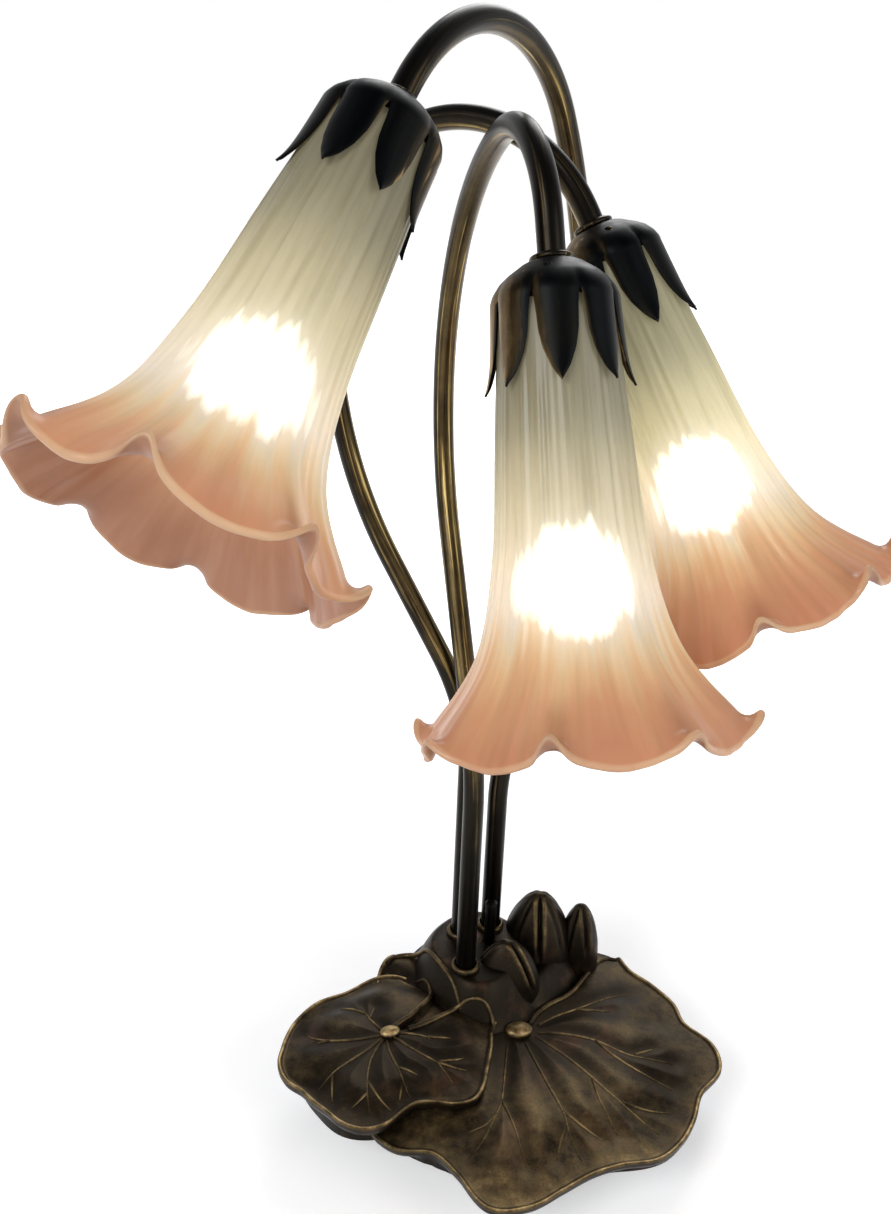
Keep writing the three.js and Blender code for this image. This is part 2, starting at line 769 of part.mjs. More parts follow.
const headPieces = [
  ['cup_collar', cupCollar, bronze],
  ['cup_nut', cupNut, brass],
  ['lamp_holder', holder, phenolic],
  ['shade_ring', shadeRing, phenolic],
  ['bulb_contact', bulbContact, brass],
  ['bulb_cap', bulbCap, brass],
  ['bulb_glass', bulbEnvelope(), bulbGlass],
];
const cupSolid = petalCup();
const shadeSolid = glassShade();

arms.forEach((arm) => {
  place(meshOf(`foot_ring_${arm.side}`, footRing, bronze), arm.x, arm.y);
  place(meshOf(`foot_washer_${arm.side}`, washer, steel), arm.x, arm.y);
  place(meshOf(`foot_nut_${arm.side}`, footNut, brass), arm.x, arm.y);
  place(meshOf(`splice_cap_${arm.side}`, spliceCap, nylon), arm.x, arm.y);

  const upright = new THREE.Group();
  upright.position.set(arm.x, arm.y, 0);
  upright.rotation.z = rad(arm.heading);
  const tubeLine = armLine(arm, tubeEnd, tubeGrip);
  const wireLine = armLine(arm, spliceTop - spliceBoreDepth + gap, tubeGrip + leadDepth);
  const wireSection = new THREE.Shape(polygon(wireDiameter / 2, wireSides));
  upright.add(meshOf(`arm_tube_${arm.side}`, solidOf(alongLine(tubeLine, tubeSection())), darkBronze));
  upright.add(meshOf(`arm_wire_${arm.side}`, solidOf(alongLine(wireLine, wireSection)), flex));

  const head = new THREE.Group();
  const { point, angle } = tubeLine.last;
  head.position.copy(point.clone().addScaledVector(tubeLine.heading(angle), -tubeGrip));
  head.rotation.y = angle;
  headPieces.forEach(([name, solid, material]) => {
    head.add(meshOf(`${name}_${arm.side}`, solid, material));
  });
  const cup = meshOf(`petal_cup_${arm.side}`, cupSolid, darkBronze);
  cup.rotation.z = rad(arm.petalTurn);
  const shade = meshOf(`glass_shade_${arm.side}`, shadeSolid, shadeGlass);
  shade.rotation.z = rad(arm.shadeTurn);
  head.add(cup, shade);
  upright.add(head);
  lamp.add(upright);
});

export default lamp;
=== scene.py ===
import math
from types import SimpleNamespace

import bmesh
import bpy
import numpy as np
from mathutils import Matrix, Vector


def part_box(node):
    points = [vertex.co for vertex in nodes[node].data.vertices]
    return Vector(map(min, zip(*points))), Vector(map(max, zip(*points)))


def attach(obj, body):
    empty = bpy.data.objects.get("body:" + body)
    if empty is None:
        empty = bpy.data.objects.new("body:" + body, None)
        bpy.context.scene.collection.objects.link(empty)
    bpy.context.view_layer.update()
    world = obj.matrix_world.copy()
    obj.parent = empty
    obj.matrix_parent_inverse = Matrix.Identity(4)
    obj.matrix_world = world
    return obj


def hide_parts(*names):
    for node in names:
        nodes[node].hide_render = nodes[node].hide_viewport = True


# A table lamp with three lit tulip shades on bent tubes over a cast lily-pad base.
# Metres, +Z up, front of the lamp towards -Y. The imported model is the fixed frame.
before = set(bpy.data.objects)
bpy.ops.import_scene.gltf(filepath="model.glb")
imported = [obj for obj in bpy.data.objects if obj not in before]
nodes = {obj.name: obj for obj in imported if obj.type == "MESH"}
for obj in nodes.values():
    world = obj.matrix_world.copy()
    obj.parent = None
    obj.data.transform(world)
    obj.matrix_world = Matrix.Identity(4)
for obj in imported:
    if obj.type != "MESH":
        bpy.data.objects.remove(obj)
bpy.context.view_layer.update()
mm = 0.001
full_turn = 2 * math.pi

# Base casting
# One hollow bronze casting of three lily pads, two mounds and three closed buds. It was washed
# dark and rubbed back, so its lips, veins and swellings shine like old brass.
casting_height = 36 * mm
casting_lift = 0.8 * mm
casting_ceiling = 31 * mm
undercut_slope = 2 * mm
lip_round = 0.9 * mm
lip_width = 2.4 * mm
lip_rows = 9
lip_easing = 24
furrow_depth = 1.5 * mm
furrow_width = 6 * mm
ripple_height = 1.1 * mm
ripple_count = 7
notch_sink = 3.6 * mm
notch_bank = 2.2 * mm
notch_ease = 3
crown_start = 3 * mm
crown_end = 14 * mm
vein_root = 0.7 * mm
vein_tip = 0.28 * mm
lip_ridge = 1.45 * mm
lip_ridge_end = 0.9 * mm
face_wear = 0.16
crown_wear = 0.15
mound_wear = 0.05
bead_wear = 0.75

big_pad = SimpleNamespace(
    x=12 * mm, y=11 * mm, radius=94 * mm, edge=8 * mm, height=13 * mm, lip=3 * mm,
    undercut=6 * mm, tilt=0, bearings=480, rows=64, front_sheen=0.15,
    outline_shares=[
        1.05, 0.945, 0.95, 0.915, 0.88, 0.93, 0.91, 0.88, 0.83, 0.77, 0.69, 0.64,
        0.61, 0.6, 0.615, 0.64, 0.675, 0.71, 0.74, 0.8, 0.865, 0.93, 0.99, 0.98,
        0.9, 0.96, 1.085, 1.05, 0.965, 0.92, 0.935, 1.0, 1.01, 1.0, 0.99, 1.07,
    ],
    foot_shares=[
        1.05, 0.97, 0.89, 0.9, 0.77, 0.62, 0.6, 0.66, 0.74, 0.88, 0.98, 0.95, 1.05, 0.92, 1.05, 1.04,
    ],
    # Veins and the notch's edge: bearing in degrees and share of the radius
    vein_shares=[
        [(-127, 0.11), (-107, 0.29), (-103, 0.47), (-104, 0.58), (-106, 0.72), (-109, 0.84)],
        [(-103, 0.47), (-95, 0.61), (-90, 0.83)],
        [(-104, 0.56), (-107, 0.64), (-113, 0.71)],
        [(-66, 0.08), (-69, 0.37), (-69, 0.55), (-71, 0.68), (-71, 0.82)],
        [(-69, 0.55), (-64, 0.66), (-60, 0.77)],
        [(-71, 0.63), (-76, 0.71), (-79, 0.79)],
        [(-10, 0.09), (-30, 0.24), (-37, 0.42), (-41, 0.6), (-42, 0.78), (-42, 0.9)],
        [(-39, 0.47), (-49, 0.6), (-54, 0.78)],
        [(-41, 0.67), (-37, 0.77), (-32, 0.88)],
        [(7, 0.1), (2, 0.25), (-4, 0.41), (-12, 0.6), (-11, 0.82)],
        [(-4, 0.41), (-14, 0.5), (-20, 0.64), (-22, 0.84)],
        [(-11, 0.62), (-6, 0.71)],
        [(33, 0.13), (34, 0.26), (32, 0.38), (31, 0.56), (30, 0.73)],
        [(32, 0.38), (21, 0.55)],
    ],
    lip_shares=[
        [(45, 0.08), (54, 0.18), (50, 0.29), (46, 0.4), (47, 0.51), (50, 0.66), (51.5, 0.77),
         (50.5, 0.85), (47, 0.89)],
    ],
    notch_shares=[
        (45, 0.08), (54, 0.18), (50, 0.29), (46, 0.4), (47, 0.51), (50, 0.66), (51.5, 0.77),
        (50.5, 0.85), (47.5, 0.92), (46, 1.2), (100, 1.2), (150, 1.2), (150, 0.1),
    ],
)
small_pad = SimpleNamespace(
    x=-52.5 * mm, y=-3.5 * mm, radius=54 * mm, edge=18 * mm, height=23 * mm, lip=4 * mm,
    undercut=11 * mm, tilt=0, bearings=360, rows=48, front_sheen=0.03,
    outline_shares=[
        0.94, 0.96, 1.05, 1.0, 0.95, 0.9, 0.86, 0.84, 0.83, 0.835, 0.83, 0.81,
        0.78, 0.765, 0.785, 0.835, 0.885, 0.93, 0.955, 0.985, 1.035, 1.035, 0.965, 0.965,
        0.99, 1.045, 1.045, 0.965, 0.835, 0.785, 0.84, 0.95, 1.01, 0.99, 0.95, 0.935,
    ],
    foot_shares=[
        1.02, 1.05, 0.82, 0.81, 0.83, 0.8, 0.81, 0.85, 0.96, 1.04, 1.06, 1.11, 1.02, 0.86, 1.03, 1.02,
    ],
    vein_shares=[
        [(149, 0.1), (136, 0.28), (130, 0.46)],
        [(133, 0.36), (140, 0.49), (146, 0.58)],
        [(134, 0.28), (116, 0.38)],
        [(-166, 0.09), (-166, 0.32), (-170, 0.55), (-175, 0.68), (178, 0.78)],
        [(-170, 0.55), (-169, 0.66)],
        [(-144, 0.09), (-135, 0.28), (-136, 0.48), (-136, 0.68), (-134, 0.84)],
        [(-135, 0.67), (-127, 0.77), (-121, 0.87)],
        [(-133, 0.09), (-118, 0.29), (-111, 0.46), (-104, 0.66), (-98, 0.87)],
        [(-106, 0.58), (-95, 0.7), (-86, 0.8)],
        [(-103, 0.69), (-106, 0.77), (-109, 0.86)],
        [(-105, 0.09), (-87, 0.21), (-77, 0.39), (-74, 0.56), (-72, 0.7)],
        [(-77, 0.39), (-67, 0.44), (-60, 0.53)],
        [(-76, 0.56), (-80, 0.7)],
        [(-36, 0.05), (-37, 0.27), (-35, 0.52), (-38, 0.62), (-41, 0.76)],
        [(-35, 0.52), (-31, 0.66), (-26, 0.77)],
        [(-35, 0.52), (-23, 0.65), (-18, 0.7)],
        [(20, 0.08), (5, 0.21), (-1, 0.33), (-7, 0.38)],
        [(-1, 0.33), (-1, 0.49), (-1, 0.56)],
    ],
    lip_shares=[
        [(80, 0.06), (62, 0.14), (52, 0.28), (53, 0.43), (54, 0.57), (58, 0.67), (66, 0.745), (76, 0.8)],
        [(24, 0.18), (23, 0.3), (25, 0.42), (28, 0.56), (29, 0.69), (25, 0.82), (20, 0.95),
         (14, 0.98), (8, 0.93)],
    ],
    notch_shares=[
        (80, 0.06), (62, 0.14), (52, 0.28), (53, 0.43), (54, 0.57), (58, 0.67), (66, 0.745), (72, 0.9),
        (66, 1.2), (38, 1.2), (31, 0.9), (29, 0.69), (28, 0.56), (25, 0.42), (23, 0.3), (24, 0.18),
    ],
)
third_pad = SimpleNamespace(
    x=-37 * mm, y=36 * mm, radius=25 * mm, edge=18.5 * mm, height=19.5 * mm, lip=3 * mm,
    undercut=3 * mm, tilt=4 * mm, bearings=160, rows=24, front_sheen=0.0,
    outline_shares=[1.02, 0.92, 0.95, 1.02, 1, 0.9, 0.96, 1],
    foot_shares=[1.02, 0.92, 0.95, 1.02, 1, 0.9, 0.96, 1],
    vein_shares=[[(-150, 0.2), (170, 0.5), (160, 0.85)]],
    lip_shares=[
        [(150, 0.94), (134, 0.94), (116, 0.82), (96, 0.5), (30, 0.22), (-30, 0.48), (-42, 0.78),
         (-47, 1.0), (-49, 1.15)],
    ],
    notch_shares=[
        (134, 0.94), (116, 0.82), (96, 0.5), (30, 0.22), (-30, 0.48), (-42, 0.78), (-47, 1.0), (-49, 1.4),
        (0, 1.5), (60, 1.5), (120, 1.3),
    ],
)
mound = SimpleNamespace(
    x=-10 * mm, y=48 * mm, radius=38 * mm, height=casting_height, foot=12 * mm, flank=16 * mm,
    plateau_shares=[0.6, 0.66, 0.7, 0.62, 0.6, 0.58, 0.72, 0.6],
)
bud_mound = SimpleNamespace(
    x=20 * mm, y=54 * mm, radius=37 * mm, height=25 * mm, foot=9 * mm, flank=16 * mm,
    plateau_shares=[0.34, 0.62, 0.6, 0.5, 0.5, 0.5, 0.42, 0.24],
)
bud_root = 10 * mm
bud_sharpness = 2.3
slit_least_reach = 3 * mm
slit_width = 0.9 * mm
slit_depth = 2.6 * mm
fold_aside = 2.4 * mm
fold_width = 1.4 * mm
fold_height = 0.9 * mm
bud_point = 4 * mm
buds = [
    SimpleNamespace(x=5.5 * mm, y=37 * mm, radius=18.5 * mm, depth=12 * mm, tip=48.5 * mm,
                    slits=[(-56, 1.0), (70, 0.6), (175, 0.6)], lean=26),
    SimpleNamespace(x=22.5 * mm, y=64 * mm, radius=19.5 * mm, depth=17 * mm, tip=59 * mm,
                    slits=[(-90, 0.8), (-48, 0.3), (-135, 0.25), (15, 0.4), (75, 0.5), (150, 0.4)], lean=4),
    SimpleNamespace(x=45.5 * mm, y=66 * mm, radius=11.5 * mm, depth=10.5 * mm, tip=51 * mm,
                    slits=[(-70, 0.5), (-125, 0.3), (0, 0.3), (90, 0.4)], lean=0),
]
bushing_height = 17 * mm
bushing_reach = 38.5 * mm
boss_radius = 8 * mm
boss_start = 19 * mm
duct_radius = 5.1 * mm
duct_start = 13.7 * mm
pocket_radius = 23.5 * mm
foot_pocket_radius = 9 * mm
recess_top = 4.6 * mm
recess_inset = 3.7 * mm
tube_hole = 5.45 * mm
knob_hole = 3.8 * mm
cut_overrun = 2 * mm


def smooth_step(values, low, high):
    """Rises from 0 at low to 1 at high, softly at both ends."""
    t = np.clip((values - low) / (high - low), 0, 1)
    return t * t * (3 - 2 * t)


def blend_four(a, b, c, d, t):
    """Point between b and c on the smooth curve through four even points."""
    return b + 0.5 * t * (c - a + t * (2 * a - 5 * b + 4 * c - d + t * (3 * (b - c) + d - a)))


def share_at(shares, bearing):
    """Share of an outline at each bearing, by a smooth closed curve through its even table."""
    shares = np.asarray(shares)
    place = np.mod(bearing / full_turn, 1) * len(shares)
    k = np.floor(place).astype(int)
    return blend_four(*(shares[(k + i) % len(shares)] for i in (-1, 0, 1, 2)), place - k)


def smooth_path(points, steps=8):
    """Open smooth curve through the points."""
    points = np.asarray(points, float)
    padded = np.vstack([2 * points[0] - points[1], points, 2 * points[-1] - points[-2]])
    t = np.linspace(0, 1, steps, endpoint=False)[:, None]
    runs = [blend_four(*four, t) for four in zip(padded, padded[1:], padded[2:], padded[3:])]
    return np.vstack([*runs, points[-1:]])


def bearings_round(count):
    """Even bearings round a full turn."""
    return np.arange(count) * full_turn / count


def around(shape, reach, bearing):
    """The x and y of places at a reach and bearing from the middle of a pad or mound."""
    return shape.x + reach * np.cos(bearing), shape.y + reach * np.sin(bearing)


def pad_spots(pad, places):
    """Points of a pad from its table of bearings in degrees and shares of the radius."""
    bearing, share = np.array(places, float).T
    return np.column_stack(around(pad, pad.radius * share, np.radians(bearing)))


def distance_to(points, x, y):
    """Distance from each place to the nearest of the points."""
    nearest = np.full(np.shape(x), np.inf)
    for px, py in points:
        nearest = np.minimum(nearest, np.hypot(x - px, y - py))
    return nearest


def inside_loop(loop, x, y):
    """True where a place lies inside a closed loop of points."""
    within = np.zeros(np.shape(x), bool)
    for (ax, ay), (bx, by) in zip(loop, np.roll(loop, -1, axis=0)):
        if ay != by:
            within ^= ((ay > y) != (by > y)) & (x < (bx - ax) * (y - ay) / (by - ay) + ax)
    return within


for pad in (big_pad, small_pad, third_pad):
    pad.veins = [smooth_path(pad_spots(pad, places)) for places in pad.vein_shares]
    pad.lips = [smooth_path(pad_spots(pad, places)) for places in pad.lip_shares]
    pad.notch = smooth_path(pad_spots(pad, pad.notch_shares), 4)


def pad_height(pad, x, y):
    """Height of a pad's face: dished, lower along its veins, and sunk inside its notch."""
    dx, dy = x - pad.x, y - pad.y
    bearing = np.arctan2(dy, dx)
    reach = np.hypot(dx, dy) / (pad.radius * share_at(pad.outline_shares, bearing))
    rise = 1 - 0.25 * reach ** 2 - 0.75 * smooth_step(reach, 0.6, 0.95)
    ripple = ripple_height * reach ** 4 * np.cos(ripple_count * bearing + 1)
    vein_gap = distance_to(np.vstack(pad.veins), x, y)
    furrow = furrow_depth * np.exp(-((vein_gap / furrow_width) ** 2)) * smooth_step(1 - reach, 0, 0.25)
    height = pad.edge + (pad.height - pad.edge) * rise + ripple - furrow + pad.tilt * dy / pad.radius
    bank = distance_to(smooth_path(pad.notch, 6), x, y)
    return height - notch_sink * smooth_step(bank, 0, notch_bank) * inside_loop(pad.notch, x, y)


def skin(name, rings, closed=False, **values):
    """A closed mesh over rings of points; a ring of one point is a pole. Each value of
    values holds one number or vector for each point, ring by ring, kept as an attribute."""
    counts = [len(ring) for ring in rings]
    starts = np.cumsum([0, *counts])
    order = list(range(len(rings))) + ([0] if closed else [])
    faces = []
    for i, j in zip(order, order[1:]):
        n = max(counts[i], counts[j])
        for k in range(n):
            m = (k + 1) % n
            corners = [
                starts[i] + k % counts[i], starts[i] + m % counts[i],
                starts[j] + m % counts[j], starts[j] + k % counts[j],
            ]
            faces.append(list(dict.fromkeys(corners)))
    mesh = bpy.data.meshes.new(name)
    mesh.from_pydata(np.vstack(rings).tolist(), [], faces)
    for key, value in values.items():
        keep_value(mesh, key, value)
    shape = bmesh.new()
    shape.from_mesh(mesh)
    bmesh.ops.recalc_face_normals(shape, faces=shape.faces)
    shape.to_mesh(mesh)
    shape.free()
    return mesh


def keep_value(mesh, name, values):
    """Keep one number or vector for each vertex as an attribute of the mesh."""
    values = np.asarray(values, float)
    kind, field = ("FLOAT", "value") if values.ndim == 1 else ("FLOAT_VECTOR", "vector")
    kept = mesh.attributes.get(name) or mesh.attributes.new(name, kind, "POINT")
    kept.data.foreach_set(field, values.ravel())


def pole(x, y, z):
    """A ring of one point."""
    return np.array([[x, y, z]])


def circle(radius, height, sides, x=0, y=0):
    """A level ring of points, or one pole where the radius is zero."""
    if radius == 0:
        return pole(x, y, height)
    angle = bearings_round(sides)
    return np.column_stack([
        x + radius * np.cos(angle), y + radius * np.sin(angle), np.full(sides, height),
    ])


def even_wear(rings, amount):
    """The same wear for every point of the rings."""
    return np.full(sum(map(len, rings)), amount)


def shade_smooth(mesh, angle=40):
    """Shade a mesh smooth up to an angle in degrees."""
    mesh.polygons.foreach_set("use_smooth", [True] * len(mesh.polygons))
    mesh.set_sharp_from_angle(angle=math.radians(angle))


def thing(name, mesh, smooth_angle=40):
    """An object of the mesh, shaded smooth up to an angle."""
    shade_smooth(mesh, smooth_angle)
    item = bpy.data.objects.new(name, mesh)
    bpy.context.scene.collection.objects.link(item)
    return item


def applied(item):
    """The object with its modifiers made real."""
    shown = item.evaluated_get(bpy.context.evaluated_depsgraph_get())
    mesh = bpy.data.meshes.new_from_object(shown)
    item.modifiers.clear()
    item.data = mesh
    return item


def combine(item, tool_mesh, operation):
    """Join a closed mesh to the object, or cut it away."""
    tool = bpy.data.objects.new("tool", tool_mesh)
    bpy.context.scene.collection.objects.link(tool)
    change = item.modifiers.new("combine", "BOOLEAN")
    change.operation = operation
    change.object = tool
    change.solver = "MANIFOLD"
    applied(item)
    bpy.data.objects.remove(tool)


def pad_mesh(pad):
    """A lily pad: its face, a rounded lip, an undercut edge and a flat underside."""
    bearing = bearings_round(pad.bearings)
    outline = pad.radius * share_at(pad.outline_shares, bearing)
    rings, wear = [pole(pad.x, pad.y, pad.height)], [np.zeros(1)]

    def add_ring(reach, height, wear_light_share):
        rings.append(np.column_stack([*around(pad, reach, bearing), height]))
        wear.append(np.broadcast_to(wear_light_share, pad.bearings))

    def face(reach):
        return pad_height(pad, *around(pad, reach, bearing))

    # No lip stands inside the notch, and it fades over a few points at the notch's ends
    shifts = range(-notch_ease, notch_ease + 1)
    outside = 1 - inside_loop(pad.notch, *around(pad, outline, bearing))
    rolled = sum(np.roll(outside, shift) for shift in shifts) / len(shifts)
    # Painted sheen: each pad's face is made lighter towards its front, where the light falls on it, on top
    # of its rubbed wear.
    front = smooth_step(-np.sin(bearing), 0.2, 0.9)
    for share in np.linspace(0, 1, pad.rows)[1:]:
        reach = (outline - lip_width) * share
        vein_gap = distance_to(np.vstack(pad.veins), *around(pad, reach, bearing))
        crown = smooth_step(vein_gap, crown_start, crown_end) * smooth_step(share, 0.1, 0.4)
        lit_share = pad.front_sheen * front * smooth_step(share, 0.25, 0.6)
        add_ring(reach, face(reach), face_wear + crown_wear * crown + lit_share)
    for place in np.linspace(lip_width, 0, lip_rows)[1:]:
        bulge = rolled * math.sin(math.pi * 0.75 * (1 - place / lip_width))
        add_ring(outline - place, face(outline - place) + lip_round * bulge, 0.2 + 0.6 * bulge ** 2)
    edge = face(outline)
    under = np.maximum(edge - pad.lip, casting_lift + 1.1 * undercut_slope)
    foot = (pad.radius - pad.undercut) * share_at(pad.foot_shares, bearing)
    neck = np.minimum(foot, outline - lip_round)
    add_ring(outline, edge - pad.lip * 0.4, 0.1)
    add_ring(outline - pad.lip * 0.25, under, 0)
    add_ring(neck, under - undercut_slope, 0)
    add_ring(neck, np.full(pad.bearings, casting_lift), 0)
    rings.append(pole(pad.x, pad.y, casting_lift))
    wear.append(np.zeros(1))
    return skin("pad", rings, wear=np.concatenate(wear))


def mound_height(shape, x, y):
    """Height of a mound: a level plateau and a flank that runs out softly, then nothing."""
    dx, dy = x - shape.x, y - shape.y
    past = np.hypot(dx, dy) - shape.radius * share_at(shape.plateau_shares, np.arctan2(dy, dx))
    height = shape.height + (shape.foot - shape.height) * smooth_step(past, 0, shape.flank)
    return np.where(past < 1.01 * shape.flank, height, 0)


def mound_mesh(shape, sides=160):
    """The mound over a flat underside."""
    bearing = bearings_round(sides)
    edge = shape.radius * share_at(shape.plateau_shares, bearing)
    rings = [pole(shape.x, shape.y, shape.height)]
    steps = [*(edge * share for share in (0.4, 0.8, 1)),
             *(edge + shape.flank * share for share in np.linspace(0.05, 1, 20))]
    for reach in steps:
        x, y = around(shape, reach, bearing)
        rings.append(np.column_stack([x, y, mound_height(shape, x, y)]))
    rings.append(rings[-1] * (1, 1, 0) + (0, 0, casting_lift))
    rings.append(pole(shape.x, shape.y, casting_lift))
    return skin("mound", rings, wear=even_wear(rings, mound_wear))


def bud_mesh(bud, sides=180, rows=56):
    """A closed bud: a pointed egg with long slits between raised folds."""
    bearing = bearings_round(sides)
    rings, wear = [pole(bud.x, bud.y, bud_root)], [np.zeros(1)]
    squash = bud.depth / bud.radius
    for t in np.linspace(0, 1, rows)[:-1]:
        across = bud.radius * (1 - t ** bud_sharpness) ** 0.6
        open_share = smooth_step(t, 0.25, 0.5) * (1 - smooth_step(t, 0.95, 1))
        dent, wear_light_share = np.zeros(sides), np.full(sides, 0.04 + 0.06 * t)
        for slit, strength in bud.slits:
            twist = math.radians(slit + bud.lean * (1 - t))
            aside = np.abs(np.angle(np.exp(1j * (bearing - twist)))) * max(across, slit_least_reach)
            fold = np.exp(-(((aside - fold_aside) / fold_width) ** 2))
            valley = np.exp(-((aside / slit_width) ** 2))
            dent += open_share * strength * (fold_height * fold - slit_depth * valley)
            wear_light_share += open_share * strength * (0.42 * fold - 0.4 * valley)
        reach = across + dent * min(1, across / bud_point)
        rings.append(np.column_stack([
            bud.x + reach * np.cos(bearing), bud.y + reach * squash * np.sin(bearing),
            np.full(sides, bud_root + (bud.tip - bud_root) * t),
        ]))
        wear.append(np.clip(wear_light_share, 0, 1))
    rings.append(pole(bud.x, bud.y, bud.tip))
    wear.append(np.full(1, 0.4))
    return skin("bud", rings, wear=np.concatenate(wear))


def drum_mesh(radius, low, high, x=0, y=0, sides=64, matrix=None):
    """A plain round bar or hole, upright unless a matrix turns it."""
    rings = [circle(r, z, sides, x, y) for r, z in ((0, low), (radius, low), (radius, high), (0, high))]
    mesh = skin("drum", rings, wear=even_wear(rings, 0.0))
    if matrix:
        mesh.transform(matrix)
    return mesh


def slab_mesh(pad, inset, low, high, sides=240):
    """The outline inside a pad's foot as an upright slab."""
    bearing = bearings_round(sides)
    reach = (pad.radius - pad.undercut) * share_at(pad.foot_shares, bearing) - inset
    ring = np.column_stack(around(pad, reach, bearing))
    levels = [np.column_stack([ring, np.full(sides, z)]) for z in (low, high)]
    rings = [pole(pad.x, pad.y, low), *levels, pole(pad.x, pad.y, high)]
    return skin("slab", rings, wear=even_wear(rings, 0.0))


def sweep(points, radii, sides=12):
    """Rings of a tube along the points, drawn to a pole at both ends."""
    points = np.asarray(points, float)
    along = np.gradient(points, axis=0)
    along /= np.linalg.norm(along, axis=1)[:, None]
    aside = np.cross(along, (0, 0, 1))
    aside /= np.linalg.norm(aside, axis=1)[:, None]
    above = np.cross(aside, along)
    angle = bearings_round(sides)
    rings = [points[:1]]
    for point, side, up, radius in zip(points, aside, above, radii):
        rings.append(point + radius * (np.outer(np.cos(angle), side) + np.outer(np.sin(angle), up)))
    return [*rings, points[-1:]]


def ridge_mesh(pad, route, root, tip, wear_light_share):
    """A rounded ridge along the casting's face: a vein or a rolled lip, thinner at its end."""
    x, y = route.T
    height = pad_height(pad, x, y)
    if root > vein_root:
        for shape in (mound, bud_mound):
            height = np.maximum(height, mound_height(shape, x, y))
        eased = height.copy()
        for _ in range(lip_easing):
            eased[1:-1] = (eased[:-2] + 2 * eased[1:-1] + eased[2:]) / 4
        height = np.maximum(height, eased)
    radii = np.linspace(root, tip, len(route))
    rings = sweep(np.column_stack([route, height + radii * 0.15]), radii)
    swell = 0.45 + 0.55 * np.sin(math.pi * np.arange(len(rings)) / len(rings))
    return skin("ridge", rings, wear=np.repeat(wear_light_share * swell, [len(ring) for ring in rings]))


def bead_mesh(x, y, z, length, width, height, turn_by, sides=48):
    """A flattened bead, turned by an angle in degrees."""
    rings = [circle(math.sin(a) if 0 < a < math.pi else 0, -math.cos(a), sides)
             for a in np.linspace(0, math.pi, 20)]
    mesh = skin("bead", rings, wear=even_wear(rings, bead_wear))
    spin = Matrix.Rotation(math.radians(turn_by), 4, "Z")
    mesh.transform(Matrix.Translation((x, y, z)) @ spin @ Matrix.Diagonal((length, width, height, 1)))
    return mesh


def towards_back(x, y, z):
    """Turns an upright piece to point along +Y from a place."""
    return Matrix.Translation((x, y, z)) @ Matrix.Rotation(-math.pi / 2, 4, "X")


def middle_of(node):
    """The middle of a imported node's box."""
    low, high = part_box(node)
    return (low + high) / 2


casting = thing("lily_pad_casting", pad_mesh(big_pad))
for part in (
    pad_mesh(small_pad),
    pad_mesh(third_pad),
    mound_mesh(mound),
    mound_mesh(bud_mound),
    *(bud_mesh(bud) for bud in buds),
    drum_mesh(boss_radius, boss_start, bushing_reach,
              matrix=towards_back(mound.x, mound.y, bushing_height)),
):
    combine(casting, part, "UNION")
foot_spots = {side: middle_of(f"foot_ring_{side}") for side in ("left", "front", "right")}
knob_spot = middle_of("switch_knob")
for part in (
    slab_mesh(big_pad, recess_inset, -cut_overrun, recess_top),
    slab_mesh(small_pad, recess_inset, -cut_overrun, recess_top),
    *(drum_mesh(foot_pocket_radius, casting_lift, casting_ceiling, spot.x, spot.y)
      for spot in foot_spots.values()),
    drum_mesh(mound.radius - recess_inset, -cut_overrun, recess_top, mound.x, mound.y),
    drum_mesh(pocket_radius, casting_lift, casting_ceiling, mound.x, mound.y),
    drum_mesh(duct_radius, duct_start, bushing_reach + cut_overrun,
              matrix=towards_back(mound.x, mound.y, bushing_height)),
    *(drum_mesh(tube_hole, casting_lift, casting_height + cut_overrun, spot.x, spot.y)
      for spot in foot_spots.values()),
    drum_mesh(knob_hole, casting_lift, casting_height + cut_overrun, knob_spot.x, knob_spot.y),
):
    combine(casting, part, "DIFFERENCE")

ridges = [
    bead_mesh(x=11.8 * mm, y=11.4 * mm, z=13.6 * mm, length=7 * mm, width=5 * mm, height=3 * mm,
              turn_by=12),
    bead_mesh(x=-52.6 * mm, y=-3.2 * mm, z=23.4 * mm, length=5 * mm, width=3.4 * mm, height=2.2 * mm,
              turn_by=20),
]
for pad in (big_pad, small_pad, third_pad):
    ridges += [ridge_mesh(pad, route, vein_root, vein_tip, 0.6) for route in pad.veins]
    ridges += [ridge_mesh(pad, route, lip_ridge, lip_ridge_end, 0.5) for route in pad.lips]
shape = bmesh.new()
for mesh in (casting.data, *ridges):
    shape.from_mesh(mesh)
shape.to_mesh(casting.data)
shape.free()
shade_smooth(casting.data, 50)


def screen_colour(code):
    """Linear colour of a hex code, as it looks on a screen."""
    shares = [int(code[i:i + 2], 16) / 255 for i in (0, 2, 4)]
    return [*(v / 12.92 if v <= 0.04045 else ((v + 0.055) / 1.055) ** 2.4 for v in shares), 1]


